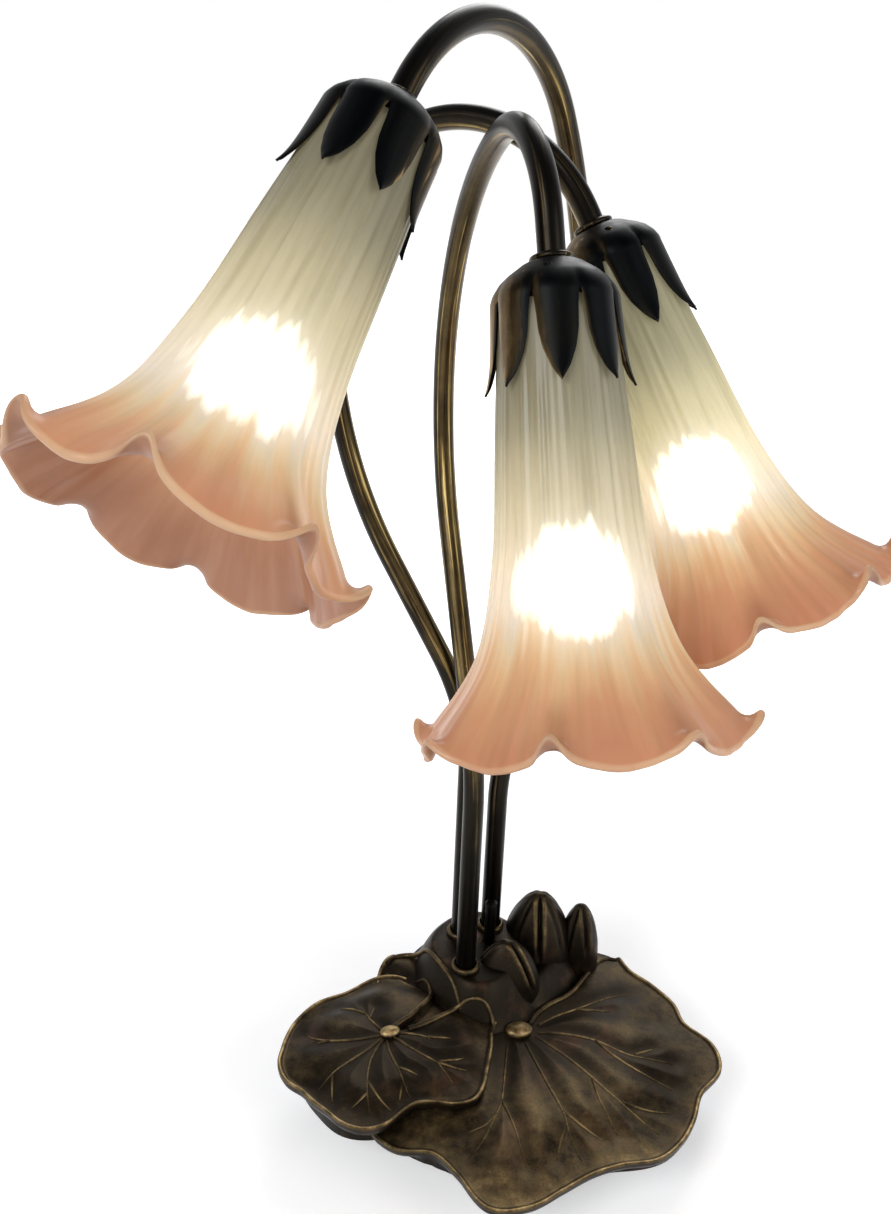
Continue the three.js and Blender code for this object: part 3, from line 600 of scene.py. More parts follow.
class Nodes:
    """A node tree, built a node at a time. Inputs take numbers, colours or other sockets."""

    def __init__(self, tree):
        self.tree = tree

    def feed(self, node, sockets):
        for key, value in sockets.items():
            if isinstance(value, bpy.types.NodeSocket):
                self.tree.links.new(value, node.inputs[key])
            else:
                node.inputs[key].default_value = value

    def add(self, kind, sockets=None, out=0, **settings):
        node = self.tree.nodes.new("ShaderNode" + kind)
        for key, value in settings.items():
            setattr(node, key, value)
        self.feed(node, sockets or {})
        return node.outputs[out]

    def maths(self, operation, a, b=0.0):
        return self.add("Math", {0: a, 1: b}, operation=operation)

    def plus(self, a, b):
        return self.maths("ADD", a, b)

    def times(self, a, b):
        return self.maths("MULTIPLY", a, b)

    def weigh(self, a, share_a, b, share_b):
        """Two values added by their shares."""
        return self.plus(self.times(a, share_a), self.times(b, share_b))

    def attribute(self, name, out="Fac"):
        return self.add("Attribute", out=out, attribute_name=name)

    def noise(self, scale, detail=3, roughness=0.55, vector=None, out=0):
        vector = vector or self.add("TexCoord", out="Object")
        sockets = {"Vector": vector, "Scale": scale, "Detail": detail, "Roughness": roughness}
        return self.add("TexNoise", sockets, out=out)

    def blend(self, share, a, b, mode="MIX"):
        return self.add("Mix", {0: share, 6: a, 7: b}, out=2, data_type="RGBA", blend_type=mode)

    def ramp(self, share, stops):
        """Colours along a share: stops are (place, hex code, grey or linear colour)."""
        socket = self.add("ValToRGB", {0: share})
        bands = socket.node.color_ramp.elements
        for k, (place, value) in enumerate(stops):
            band = bands[k] if k < 2 else bands.new(place)
            band.position = place
            band.color = screen_colour(value) if isinstance(value, str) else (*np.broadcast_to(value, 3), 1)
        return socket

    def span(self, value, low, high, to_low=0.0, to_high=1.0):
        sockets = {0: value, 1: low, 2: high, 3: to_low, 4: to_high}
        return self.add("MapRange", sockets)


class Paint(Nodes):
    """A node material round one Principled shader."""

    def __init__(self, name, sockets):
        self.material = bpy.data.materials.new(name)
        self.material.use_nodes = True
        super().__init__(self.material.node_tree)
        self.shader = self.tree.nodes["Principled BSDF"]
        self.output = self.tree.nodes["Material Output"]
        self.feed(self.shader, sockets)

    def finish(self, tone, rough, relief, strength, distance):
        """Feed the shader its colour, roughness and bump, and give the material."""
        bump = self.add("Bump", {"Height": relief, "Strength": strength, "Distance": distance})
        self.feed(self.shader, {"Base Color": tone, "Roughness": rough, "Normal": bump})
        return self.material


def antique_bronze():
    """Dark washed casting, mottled all over and lighter where wear says: rubbed wear, and a painted sheen
    on the pads' fronts.
    """
    paint = Paint("antique_bronze", {"Metallic": 0.9})
    wear_light_share = paint.attribute("wear")
    clouds = paint.noise(26, 5, 0.6)
    mottle = paint.noise(160, 6, 0.7)
    grain = paint.noise(1400, 3, 0.6)
    rubbed_and_sheen = paint.times(wear_light_share, paint.span(mottle, 0.35, 0.65, 0.55, 1.15))
    share = paint.plus(rubbed_and_sheen, paint.span(clouds, 0.3, 0.7, -0.05, 0.06))
    share = paint.plus(share, paint.span(grain, 0.3, 0.7, -0.04, 0.05))
    tone = paint.ramp(share, [
        (0.0, "1a150e"), (0.2, "2e261b"), (0.42, "574931"), (0.68, "8d7751"), (1.0, "d2b988"),
    ])
    rose = paint.span(paint.noise(60, 4, 0.6), 0.55, 0.72)
    tone = paint.blend(paint.times(rose, 0.2), tone, screen_colour("7a5440"))
    rough = paint.span(mottle, 0.3, 0.7, 0.35, 0.53)
    return paint.finish(tone, rough, paint.weigh(mottle, 0.6, grain, 0.4), 0.35, 0.3 * mm)


bronze = antique_bronze()


def finish_piece(item, body, paint, node, place=None):
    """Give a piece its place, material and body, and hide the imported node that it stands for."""
    if place is not None:
        item.matrix_world = place
    item.data.materials.clear()
    item.data.materials.append(paint)
    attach(item, body)
    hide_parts(node)


def repaint(paint, *names):
    """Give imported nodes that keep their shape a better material."""
    for name in names:
        for place in nodes[name].material_slots:
            place.material = paint


finish_piece(casting, "stand", bronze, "base_casting")

# Closing plate, felt and screws
# A zinc-plated steel plate closes the casting from below, held by three countersunk screws.
# A thin felt pad is glued under it, so that the lamp doesn't scratch the table.


def plated_steel():
    """Zinc plate: pale grey with a faint crystal pattern and fine scuffs."""
    paint = Paint("zinc_steel", {"Metallic": 1.0})
    crystals = paint.add("TexVoronoi", {"Vector": paint.add("TexCoord", out="Object"), "Scale": 180.0},
                         out="Color")
    flakes = paint.add("SeparateColor", {0: crystals})
    scuffs = paint.noise(900, 4, 0.7)
    share = paint.weigh(flakes, 0.5, scuffs, 0.5)
    tone = paint.ramp(share, [(0.2, "7c7e80"), (0.8, "b9bab8")])
    return paint.finish(tone, paint.span(share, 0.2, 0.8, 0.28, 0.5), scuffs, 0.2, 0.1 * mm)


def wool_felt():
    """Dark green wool felt: tangled fibres over soft blotches."""
    paint = Paint("felt", {"Roughness": 0.95, "Sheen Weight": 0.3, "Sheen Roughness": 0.6})
    fibres = paint.noise(1600, 6, 0.8)
    blotches = paint.noise(90, 3, 0.5)
    share = paint.weigh(fibres, 0.7, blotches, 0.3)
    tone = paint.ramp(share, [(0.3, "161d18"), (0.55, "25332a"), (0.75, "3a4a3e")])
    return paint.finish(tone, paint.span(fibres, 0.3, 0.7, 0.85, 1.0), fibres, 0.8, 0.5 * mm)


steel = plated_steel()
felt = wool_felt()
repaint(steel, "base_plate", *(f"plate_screw_{k}" for k in (1, 2, 3)))
repaint(felt, "felt_pad")

# Foot rings and tube fixings
# A small turned ring covers each hole where a tube leaves the casting. Below it, a washer and a
# nut clamp the tube, and a closed nylon cap joins its wires.
foot_ring_radius = 7.2 * mm
foot_ring_height = 2.4 * mm
foot_ring_bevel = 0.3 * mm
piece_gap = 0.3 * mm


def lathe_mesh(name, profile, sides=64, wear=None):
    """A turned piece about +Z from [radius, height] points; it closes on itself off the axis."""
    rings = [circle(radius, height, sides) for radius, height in profile]
    on_axis = profile[0][0] == 0 and profile[-1][0] == 0
    wear_light_share = np.concatenate([np.full(len(ring), w) for ring, w in zip(rings, wear or [0.3] * len(rings))])
    return skin(name, rings, closed=not on_axis, wear=wear_light_share)


def arc(centre_radius, centre_height, size, start, end, count=8):
    """Points of a round stretch of a profile, between two angles in degrees."""
    angle = np.radians(np.linspace(start, end, count))
    return [(centre_radius + size * math.cos(a), centre_height + size * math.sin(a)) for a in angle]


def turned_brass():
    """Plain turned brass: fine rings from the tool and a few dull spots."""
    paint = Paint("brass", {"Metallic": 1.0})
    spots = paint.noise(220, 5, 0.65)
    fine = paint.noise(2200, 2, 0.5)
    share = paint.weigh(spots, 0.8, fine, 0.2)
    tone = paint.ramp(share, [(0.25, "7d5f2c"), (0.5, "b08d4a"), (0.8, "d2b06a")])
    return paint.finish(tone, paint.span(share, 0.3, 0.7, 0.22, 0.42), fine, 0.15, 0.05 * mm)


def moulded_nylon(name, dark, pale):
    """Moulded nylon with a faint grain."""
    paint = Paint(name, {"Subsurface Weight": 0.1, "Subsurface Scale": 0.002})
    grain = paint.noise(1200, 3, 0.6)
    stains = paint.noise(80, 3, 0.5)
    tone = paint.ramp(stains, [(0.3, dark), (0.7, pale)])
    return paint.finish(tone, paint.span(grain, 0.3, 0.7, 0.42, 0.58), grain, 0.2, 0.1 * mm)


brass = turned_brass()
nylon = moulded_nylon("nylon", "cfc8b4", "e6e1d3")
foot_ring_low = casting_height + piece_gap
ring_round = foot_ring_height / 2
foot_ring_profile = [
    (tube_hole, foot_ring_low), (foot_ring_radius, foot_ring_low),
    *arc(foot_ring_radius - ring_round, foot_ring_low + ring_round, ring_round, 0, 100),
    (tube_hole + foot_ring_bevel, foot_ring_low + foot_ring_height * 0.8),
    (tube_hole, foot_ring_low + ring_round),
]
foot_ring_wear = [0.2, 0.3, *[0.45] * 8, 0.3, 0.2]
for side, spot in foot_spots.items():
    ring = thing(f"tube_foot_ring_{side}", lathe_mesh("ring", foot_ring_profile, wear=foot_ring_wear))
    place = Matrix.Translation((spot.x, spot.y, 0))
    finish_piece(ring, "stand", bronze, f"foot_ring_{side}", place)
    repaint(steel, f"foot_washer_{side}")
    repaint(brass, f"foot_nut_{side}")
    repaint(nylon, f"splice_cap_{side}")

# Rotary switch
# A round switch body hangs under the casting, and its slim metal knob stands beside the tubes.
# The knob turns without end; its stem is a push fit in the switch.
knob_radius = 3 * mm
knob_height = 26 * mm
knob_stem_radius = 1.5 * mm
knob_stem_length = 9 * mm
knob_grip = 8 * mm
knob_bevel = 0.3 * mm
knob_round = 0.8 * mm
knob_flutes = 24
flute_depth = 0.15 * mm


def moulded_phenolic():
    """Dark brown-black moulded resin with a dull skin."""
    paint = Paint("phenolic", {})
    grain = paint.noise(700, 5, 0.65)
    haze = paint.noise(60, 3, 0.5)
    tone = paint.ramp(haze, [(0.3, "0f0c0a"), (0.7, "2a221b")])
    return paint.finish(tone, paint.span(grain, 0.3, 0.7, 0.38, 0.55), grain, 0.15, 0.1 * mm)


def dark_bronze_paint(name, stops, rough_low, rough_high, flow_scale):
    """Satin dark bronze with fine streaks along the flow attribute, lighter where wear says, which on the
    tubes and cups is painted light.
    """
    paint = Paint(name, {"Metallic": 0.92})
    flow = paint.attribute("flow", "Vector")
    streaks = paint.noise(flow_scale, 3, 0.55, flow)
    clouds = paint.noise(38, 5, 0.65)
    specks = paint.noise(900, 3, 0.7)
    drift = paint.span(clouds, 0.3, 0.7, -0.08, 0.1)
    share = paint.plus(paint.span(streaks, 0.3, 0.7, -0.12, 0.12), drift)
    # Bright streak lines where wear is high: painted highlights on the tubes and cups.
    lines = paint.times(paint.span(streaks, 0.58, 0.68), paint.attribute("wear"))
    share = paint.plus(share, paint.times(lines, 0.9))
    share = paint.plus(share, paint.attribute("wear"))
    tone = paint.ramp(share, stops)
    pits = paint.span(specks, 0.66, 0.72)
    tone = paint.blend(paint.times(pits, 0.6), tone, screen_colour("0d0a07"))
    rough = paint.span(streaks, 0.3, 0.7, rough_low, rough_high)
    return paint.finish(tone, rough, paint.weigh(streaks, 0.7, specks, 0.3), 0.2, 0.12 * mm)


tube_stops = [(0.0, "0d0d0c"), (0.3, "211c15"), (0.55, "57492f"), (0.8, "94804f"), (1.0, "c4ab74")]
cup_stops = [(0.0, "07090b"), (0.3, "14130f"), (0.6, "453824"), (1.0, "a08660")]
phenolic = moulded_phenolic()
tube_bronze = dark_bronze_paint("dark_bronze", tube_stops, 0.24, 0.4, 700)
cup_bronze = dark_bronze_paint("cup_bronze", cup_stops, 0.36, 0.5, 240)


def with_flow(mesh, stretch=0.05):
    """Keep each vertex's place as the flow attribute, squeezed along +Z, for lengthwise streaks."""
    flow = np.array([(v.co.x, v.co.y, v.co.z * stretch) for v in mesh.vertices])
    keep_value(mesh, "flow", flow)
    return mesh


knob_low = casting_height + piece_gap
knob_top = knob_low + knob_height
knob_profile = [
    (0, casting_height - knob_stem_length), (knob_stem_radius, casting_height - knob_stem_length),
    (knob_stem_radius, knob_low), (knob_radius - knob_bevel, knob_low),
    (knob_radius, knob_low + knob_bevel), (knob_radius, knob_top - knob_grip),
    (knob_radius, knob_top - knob_round),
    *arc(knob_radius - knob_round, knob_top - knob_round, knob_round, 30, 90, 4), (0, knob_top),
]
knob_mesh = with_flow(lathe_mesh("knob", knob_profile, 96, [0.06] * len(knob_profile)))
for vertex in knob_mesh.vertices:
    if vertex.co.z > knob_top - knob_grip:
        bearing = math.atan2(vertex.co.y, vertex.co.x)
        vertex.co.xy *= 1 - flute_depth / knob_radius * (1 + math.cos(knob_flutes * bearing)) / 2
knob = thing("rotary_switch_knob", knob_mesh)
knob_place = Matrix.Translation((knob_spot.x, knob_spot.y, 0))
finish_piece(knob, "knob", tube_bronze, "switch_knob", knob_place)
repaint(phenolic, "switch_body")

# Cord bushing
# A flanged nylon bushing is pressed into the boss at the back of the casting. The power cord
# would leave through it, but the photograph shows no cord.
bushing_flange_radius = 6.5 * mm
bushing_flange = 2 * mm
bushing_barrel_radius = 4.8 * mm
bushing_bore_radius = 3.5 * mm
bushing_barrel_length = 10 * mm
bushing_outer_round = 0.7 * mm
bushing_inner_round = 0.6 * mm
flange_low = bushing_reach + piece_gap
flange_high = flange_low + bushing_flange
bushing_profile = [
    (bushing_bore_radius, flange_low - bushing_barrel_length),
    (bushing_barrel_radius, flange_low - bushing_barrel_length), (bushing_barrel_radius, flange_low),
    (bushing_flange_radius, flange_low),
    *arc(bushing_flange_radius - bushing_outer_round, flange_high - bushing_outer_round,
         bushing_outer_round, 0, 90, 5),
    *arc(bushing_bore_radius + bushing_inner_round, flange_high - bushing_inner_round,
         bushing_inner_round, 90, 180, 5),
]
bushing_mesh = lathe_mesh("bushing", bushing_profile, 72)
bushing_mesh.transform(towards_back(mound.x, mound.y, bushing_height))
brown_nylon = moulded_nylon("brown_nylon", "2a2019", "3d3026")
finish_piece(thing("cord_outlet_bushing", bushing_mesh), "stand", brown_nylon, "cord_bushing")

# Arm tubes
# Three bent bronze tubes rise from the casting, lean back and arch over to the shades. Each is
# one length of lamp tube with a satin dark finish, and it carries the wires inside.
tube_radius = 5 * mm
tube_wall = 1 * mm
tube_end = 22.3 * mm
tube_grip = 12 * mm
tube_sides = 40
bend_step = 2
straight_step = 6 * mm
streak_stretch = 0.02
shaded_below = 80 * mm
lit_above = 200 * mm
arms = [
    SimpleNamespace(
        side="left", heading=-122, rise=79.7 * mm, lean=22.6, lean_radius=59.3 * mm, run=97.6 * mm,
        sweep_radius=223 * mm, arch_start=33.5, arch_radius=74.2 * mm, droop=136.9, nose=8.8 * mm,
        shade_turn=15, petal_turn=-15,
    ),
    SimpleNamespace(
        side="front", heading=-75.2, rise=93.3 * mm, lean=34.3, lean_radius=89.9 * mm, run=84.8 * mm,
        sweep_radius=122 * mm, arch_start=67.3, arch_radius=50 * mm, droop=156.5, nose=13.8 * mm,
        shade_turn=30, petal_turn=18,
    ),
    SimpleNamespace(
        side="right", heading=-32.7, rise=100.4 * mm, lean=36, lean_radius=100.7 * mm, run=51.2 * mm,
        sweep_radius=191.6 * mm, arch_start=8.8, arch_radius=68.3 * mm, droop=148.7, nose=6.8 * mm,
        shade_turn=19, petal_turn=0,
    ),
]


def bent_line(arm):
    """Stations (x, z, angle in degrees from upright, length so far) along a tube's centre line."""
    stations = [(0.0, tube_end, 0.0, 0.0)]

    def straight(length):
        count = max(1, math.ceil(length / straight_step))
        for _ in range(count):
            x, z, angle, far = stations[-1]
            step = length / count
            tilt = math.radians(angle)
            stations.append((x + step * math.sin(tilt), z + step * math.cos(tilt), angle, far + step))

    def bend(degrees, radius):
        x, z, angle, far = stations[-1]
        hand = math.copysign(radius, degrees)
        count = max(1, math.ceil(abs(degrees) / bend_step))
        for k in range(1, count + 1):
            start, now = math.radians(angle), math.radians(angle + degrees * k / count)
            stations.append((
                x + hand * (math.cos(start) - math.cos(now)), z + hand * (math.sin(now) - math.sin(start)),
                math.degrees(now), far + radius * abs(now - start),
            ))

    straight(casting_height + arm.rise - tube_end)
    bend(-arm.lean, arm.lean_radius)
    straight(arm.run)
    bend(arm.lean + arm.arch_start, arm.sweep_radius)
    bend(arm.droop - arm.arch_start, arm.arch_radius)
    straight(arm.nose + tube_grip)
    return stations


def tube_mesh(stations):
    """A hollow tube along its stations, in the upright plane of its bends."""
    bearing = bearings_round(tube_sides)
    outer, inner, flow, wear = [], [], [], []
    for x, z, angle, far in stations:
        tilt = math.radians(angle)
        across = np.array([math.cos(tilt), 0, -math.sin(tilt)])
        turned = np.outer(np.cos(bearing), across) + np.outer(np.sin(bearing), (0, 1, 0))
        outer.append((x, 0, z) + tube_radius * turned)
        inner.append((x, 0, z) + (tube_radius - tube_wall) * turned)
        flow.append(np.column_stack([
            tube_radius * np.cos(bearing), tube_radius * np.sin(bearing),
            np.full(tube_sides, far * streak_stretch),
        ]))
        # Painted light and shade: each tube is dark near the casting and lighter higher up, most on the
        # side towards its shade, as if lit by the glowing shades.
        lit_share = smooth_step(z, shaded_below, lit_above)
        wear.append(0.1 + lit_share * (0.08 + 0.28 * smooth_step(np.cos(bearing), -0.3, 0.9)))
    mesh_flow = np.vstack([*flow, *flow[::-1]])
    return skin("tube", [*outer, *inner[::-1]], closed=True, flow=mesh_flow,
                wear=np.concatenate([*wear, *wear[::-1]]))


for arm in arms:
    spot = foot_spots[arm.side]
    arm.foot = Matrix.Translation((spot.x, spot.y, 0)) @ Matrix.Rotation(math.radians(arm.heading), 4, "Z")
    arm.stations = bent_line(arm)
    x, z, angle, _ = arm.stations[-1]
    tilt = math.radians(angle)
    top = (x - tube_grip * math.sin(tilt), 0, z - tube_grip * math.cos(tilt))
    arm.head = arm.foot @ Matrix.Translation(top) @ Matrix.Rotation(tilt, 4, "Y")
    tube = thing(f"bent_tube_{arm.side}", tube_mesh(arm.stations))
    finish_piece(tube, "stand", tube_bronze, f"arm_tube_{arm.side}", arm.foot)


def wire_sleeve_paint():
    """Gold-clear plastic sleeve on the lamp wire."""
    paint = Paint("wire_sleeve", {"Coat Weight": 0.4})
    twist = paint.noise(500, 3, 0.5)
    tone = paint.ramp(twist, [(0.3, "a08a48"), (0.7, "d0bb76")])
    return paint.finish(tone, paint.span(twist, 0.3, 0.7, 0.35, 0.5), twist, 0.3, 0.2 * mm)


repaint(wire_sleeve_paint(), *(f"arm_wire_{arm.side}" for arm in arms))

# Petal cups and collars
# Each cup is spun from thin sheet and cut into eight petals that hug the glass, with one small
# vent hole. A rolled collar closes the hole where the tube goes in.
cup_sheet = 0.8 * mm
cup_radius = 21.7 * mm
dome_height = 13 * mm
petal_count = 8
petal_length = 31 * mm
petal_half_angle = math.radians(22.5)
petal_spread = 2.1 * mm
petal_curl = 2.2 * mm
petal_crown = 1.0 * mm
petal_crown_start = 2 * mm
petal_pinch = 0.5 * mm
petal_pinch_start = 4 * mm
weld_reach = 0.05 * mm
dome_rows = 15
petal_columns = 12
petal_rows = 26
dome_shares = [
    (0.251, 0), (0.438, 0.0), (0.52, 0.07), (0.62, 0.19), (0.74, 0.33), (0.86, 0.52), (0.95, 0.78),
    (0.99, 1),
]
petal_width_shares = [
    (0, 1.0), (0.06, 0.93), (0.2, 0.86), (0.45, 0.78), (0.65, 0.62), (0.85, 0.34), (0.97, 0.1),
    (1, 0.03),
]
vent_radius = 1.3 * mm
vent_reach = 15.5 * mm
vent_depth = 4 * mm
# Directions of the other shades from each cup: petals facing them get painted light from their glow.
glow_lit_sides = {"left": (0.72, 0, -0.3), "front": (-0.95, -0.1, 0.1), "right": (-0.95, -0.1, 0.1)}
vent_bearings = {"left": -170, "front": -154, "right": -134}
collar_radius = 8 * mm
collar_height = 3 * mm
collar_round = 1.2 * mm
collar_step = 2.2 * mm


def petal_cup_mesh():
    """The sheet as eight like sectors, welded in the dome and parted below it."""
    reach, drop = np.array(dome_shares).T
    even, places = np.linspace(0, 1, dome_rows), np.linspace(0, 1, len(reach))
    rows = [(cup_radius * r, dome_height * d, 1.0, 0.0)
            for r, d in zip(np.interp(even, places, reach), np.interp(even, places, drop))]
    place, width = np.array(petal_width_shares).T
    for t in np.linspace(0, 1, petal_rows + 1)[1:]:
        radius = cup_radius * 0.99 + petal_spread * t + petal_curl * t ** 5
        rows.append((radius, dome_height + petal_length * t, np.interp(t, place, width), t))
    shape = bmesh.new()
    for petal in range(petal_count):
        middle = petal * full_turn / petal_count
        grid = []
        for radius, level, share, t in rows:
            line = []
            crown = petal_crown * smooth_step(level, petal_crown_start, dome_height) * (1 - 0.4 * t)
            pinch = petal_pinch * smooth_step(level, petal_pinch_start, dome_height) * (1 - t)
            for q in np.linspace(-1, 1, petal_columns + 1):
                bearing = middle + q * petal_half_angle * share
                r = radius + crown * (1 - q * q) - pinch * abs(q) ** 8
                line.append(shape.verts.new((r * math.cos(bearing), r * math.sin(bearing), level)))
            grid.append(line)
        for upper, lower in zip(grid, grid[1:]):
            for k in range(petal_columns):
                shape.faces.new((upper[k], lower[k], lower[k + 1], upper[k + 1]))
    dome_verts = [v for v in shape.verts if v.co.z <= dome_height + weld_reach]
    bmesh.ops.remove_doubles(shape, verts=dome_verts, dist=weld_reach)
    mesh = bpy.data.meshes.new("cup")
    shape.to_mesh(mesh)
    shape.free()
    return mesh


collar_low = -piece_gap - collar_height
collar_profile = [
    (tube_hole, collar_low), (collar_radius - collar_step, collar_low),
    *arc(collar_radius - collar_round, -piece_gap - collar_round, collar_round, -70, 90, 8),
    (tube_hole, -piece_gap),
]
for arm in arms:
    cup = thing(f"sheet_petal_cup_{arm.side}", petal_cup_mesh())
    thicken = cup.modifiers.new("sheet", "SOLIDIFY")
    thicken.thickness = cup_sheet
    thicken.offset = 1
    thicken.use_even_offset = True
    applied(cup)
    cup.data.transform(Matrix.Rotation(math.radians(arm.petal_turn), 4, "Z"))
    bearing = math.radians(vent_bearings[arm.side])
    vent = Matrix.Rotation(bearing, 4, "Z") @ Matrix.Translation((vent_reach, 0, vent_depth))
    combine(cup, drum_mesh(vent_radius, -vent_depth, vent_depth, matrix=vent), "DIFFERENCE")
    with_flow(cup.data, 0.12)
    # Painted light: petals that face the other shades are made lighter, as if lit by their glow.
    normals = np.array([arm.head.to_3x3() @ v.normal for v in cup.data.vertices])
    facing = normals @ np.array(glow_lit_sides[arm.side])
    keep_value(cup.data, "wear", 0.08 + 0.68 * smooth_step(facing, 0.3, 0.9))
    shade_smooth(cup.data)
    finish_piece(cup, "stand", cup_bronze, f"petal_cup_{arm.side}", arm.head)
    collar = thing(f"cup_entry_collar_{arm.side}", with_flow(lathe_mesh("collar", collar_profile, 64)))
    finish_piece(collar, "stand", tube_bronze, f"cup_collar_{arm.side}", arm.head)
    repaint(brass, f"cup_nut_{arm.side}")

# Lamp holders and shade rings
# A dark moulded E14 holder screws onto the tube's end in each cup. Its threaded skirt passes
# through the hole of the shade, and a ring on that skirt clamps the glass against a flange.
holder_radius = 13.5 * mm
holder_neck_radius = 9 * mm
flange_radius = 17 * mm
socket_radius = 7.4 * mm
socket_floor = 41.7 * mm
holder_mouth = 66 * mm
holder_edge = 1 * mm
holder_neck_low = 4.4 * mm
holder_neck_high = 8.9 * mm
holder_shoulder = 1.8 * mm
holder_flange_low = 13 * mm
holder_flange_high = 14.5 * mm
thread_low = 15 * mm
plain_mouth = 14 * mm
socket_edge = 0.4 * mm
thread_pitch = 2.4 * mm
thread_depth = 0.35 * mm
thread_steps = 6
shade_ring_radius = 16.5 * mm
shade_ring_bore = 13.8 * mm
shade_ring_low = 17.9 * mm
shade_ring_height = 5 * mm
shade_ring_edge = 0.4 * mm
shade_ring_bevel = 1.7 * mm
ring_grip_depth = 0.3 * mm
ring_grip_zone = 0.5 * mm
ring_grips = 32


def thread_rows(radius, low, high):
    """Rounded ribs along a straight stretch of a profile."""
    count = int((high - low) / thread_pitch * thread_steps)
    heights = np.linspace(low, high, count)
    return [(radius - thread_depth * (0.5 - 0.5 * math.cos(full_turn * (h - low) / thread_pitch)), h)
            for h in heights]


holder_profile = [
    (tube_hole, holder_neck_low), (holder_neck_radius, holder_neck_low),
    (holder_neck_radius, holder_neck_high), (holder_radius, holder_neck_high + holder_shoulder),
    (holder_radius, holder_flange_low), (flange_radius, holder_flange_low),
    (flange_radius, holder_flange_high), (holder_radius, holder_flange_high),
    *thread_rows(holder_radius, thread_low, holder_mouth - plain_mouth),
    (holder_radius, holder_mouth - holder_edge), (holder_radius - holder_edge, holder_mouth),
    (socket_radius + socket_edge, holder_mouth), (socket_radius, holder_mouth - socket_edge),
    (socket_radius, socket_floor), (tube_hole, socket_floor),
]
ring_top = shade_ring_low + shade_ring_height
ring_profile = [
    (shade_ring_bore, shade_ring_low), (shade_ring_radius - shade_ring_edge, shade_ring_low),
    (shade_ring_radius, shade_ring_low + shade_ring_edge), (shade_ring_radius, ring_top - shade_ring_bevel),
    (shade_ring_radius - shade_ring_bevel, ring_top), (shade_ring_bore, ring_top),
]
for arm in arms:
    holder = thing(f"moulded_lamp_holder_{arm.side}", lathe_mesh("holder", holder_profile, 72))
    finish_piece(holder, "stand", phenolic, f"lamp_holder_{arm.side}", arm.head)
    ring_mesh = lathe_mesh("shade ring", ring_profile, 96)
    for vertex in ring_mesh.vertices:
        reach = vertex.co.xy.length
        if reach > shade_ring_radius - ring_grip_zone:
            bearing = math.atan2(vertex.co.y, vertex.co.x)
            vertex.co.xy *= 1 - ring_grip_depth / reach * (0.5 + 0.5 * math.cos(ring_grips * bearing))
    shade_ring = thing(f"glass_clamp_ring_{arm.side}", ring_mesh)
    finish_piece(shade_ring, "stand", phenolic, f"shade_ring_{arm.side}", arm.head)

# Bulbs
# Small frosted candle bulbs, lit. Each has a glass envelope, a plated brass screw cap and a foot
# contact, and all three turn and slide together as the bulb screws out.
bulb_low = 66.6 * mm
bulb_length = 72 * mm
bulb_radius = 17.5 * mm
bulb_neck_radius = 5.5 * mm
bulb_neck_low = 55.3 * mm
bulb_neck_round = 0.6 * mm
bulb_glow = 3.0
bulb_shares = [
    (0.4, 0), (0.56, 0.07), (0.7, 0.17), (0.88, 0.27), (0.98, 0.38), (1, 0.45), (0.97, 0.52), (0.87, 0.63),
    (0.7, 0.75), (0.5, 0.85), (0.3, 0.93), (0.15, 0.985), (0, 1),
]


def frosted_bulb():
    """Lit frosted glass: brightest round its middle, with a faint uneven frost."""
    paint = Paint("bulb_glass", {"Transmission Weight": 0.25, "IOR": 1.45})
    frost = paint.noise(400, 4, 0.6)
    clouds = paint.noise(45, 3, 0.5)
    tone = paint.ramp(clouds, [(0.3, "fff8ea"), (0.7, "fffdf8")])
    glow = paint.span(clouds, 0.3, 0.7, bulb_glow * 0.9, bulb_glow)
    paint.feed(paint.shader, {"Emission Color": tone, "Emission Strength": glow})
    return paint.finish(tone, paint.span(frost, 0.3, 0.7, 0.45, 0.6), frost, 0.1, 0.05 * mm)


bulb_paint = frosted_bulb()
bulb_curve = smooth_path(bulb_shares, 5)
bulb_profile = [
    (0, bulb_neck_low), (bulb_neck_radius - bulb_neck_round, bulb_neck_low),
    (bulb_neck_radius, bulb_neck_low + bulb_neck_round), (bulb_neck_radius, bulb_low),
    *((max(0.0, radius) * bulb_radius, bulb_low + far * bulb_length) for radius, far in bulb_curve[:-1]),
    (0, bulb_low + bulb_length),
]
for arm in arms:
    bulb = thing(f"frosted_candle_bulb_{arm.side}", lathe_mesh("bulb", bulb_profile, 64))
    finish_piece(bulb, f"bulb_{arm.side}", bulb_paint, f"bulb_glass_{arm.side}", arm.head)
    repaint(brass, f"bulb_cap_{arm.side}", f"bulb_contact_{arm.side}")

# Tulip shades
# Blown glass shades, cased ivory over white and flushed peach to rose at the mouth. The hot rim
# was crimped into eight scallops and its edge fire-polished to a round lip.
shade_wall = 2.8 * mm
shade_top = 14.8 * mm
shade_length = 149 * mm
shade_bearings = 320
shade_rows = 110
ruffle_count = 8
ruffle_reach = 0.6 * mm
ruffle_drop = 1.9 * mm
ruffle_wander = 0.5 * mm
rib_depth = 0.3 * mm
curl_length = 9 * mm
curl_turn = math.radians(104)
droop_turn = math.radians(-13)
notch_sharpness = 0.3
lip_highlight_width = 1.6 * mm
lip_steps = 7
shade_shares = [
    (0.334, 0), (0.355, 0.035), (0.383, 0.169), (0.417, 0.339), (0.455, 0.522), (0.514, 0.664),
    (0.583, 0.765), (0.66, 0.832), (0.769, 0.893), (0.888, 0.947), (1, 1),
]
fold_notes = {"left": 3, "front": 11, "right": 7}
fold_shares = {"left": 1.1, "front": 1.0, "right": 1.0}
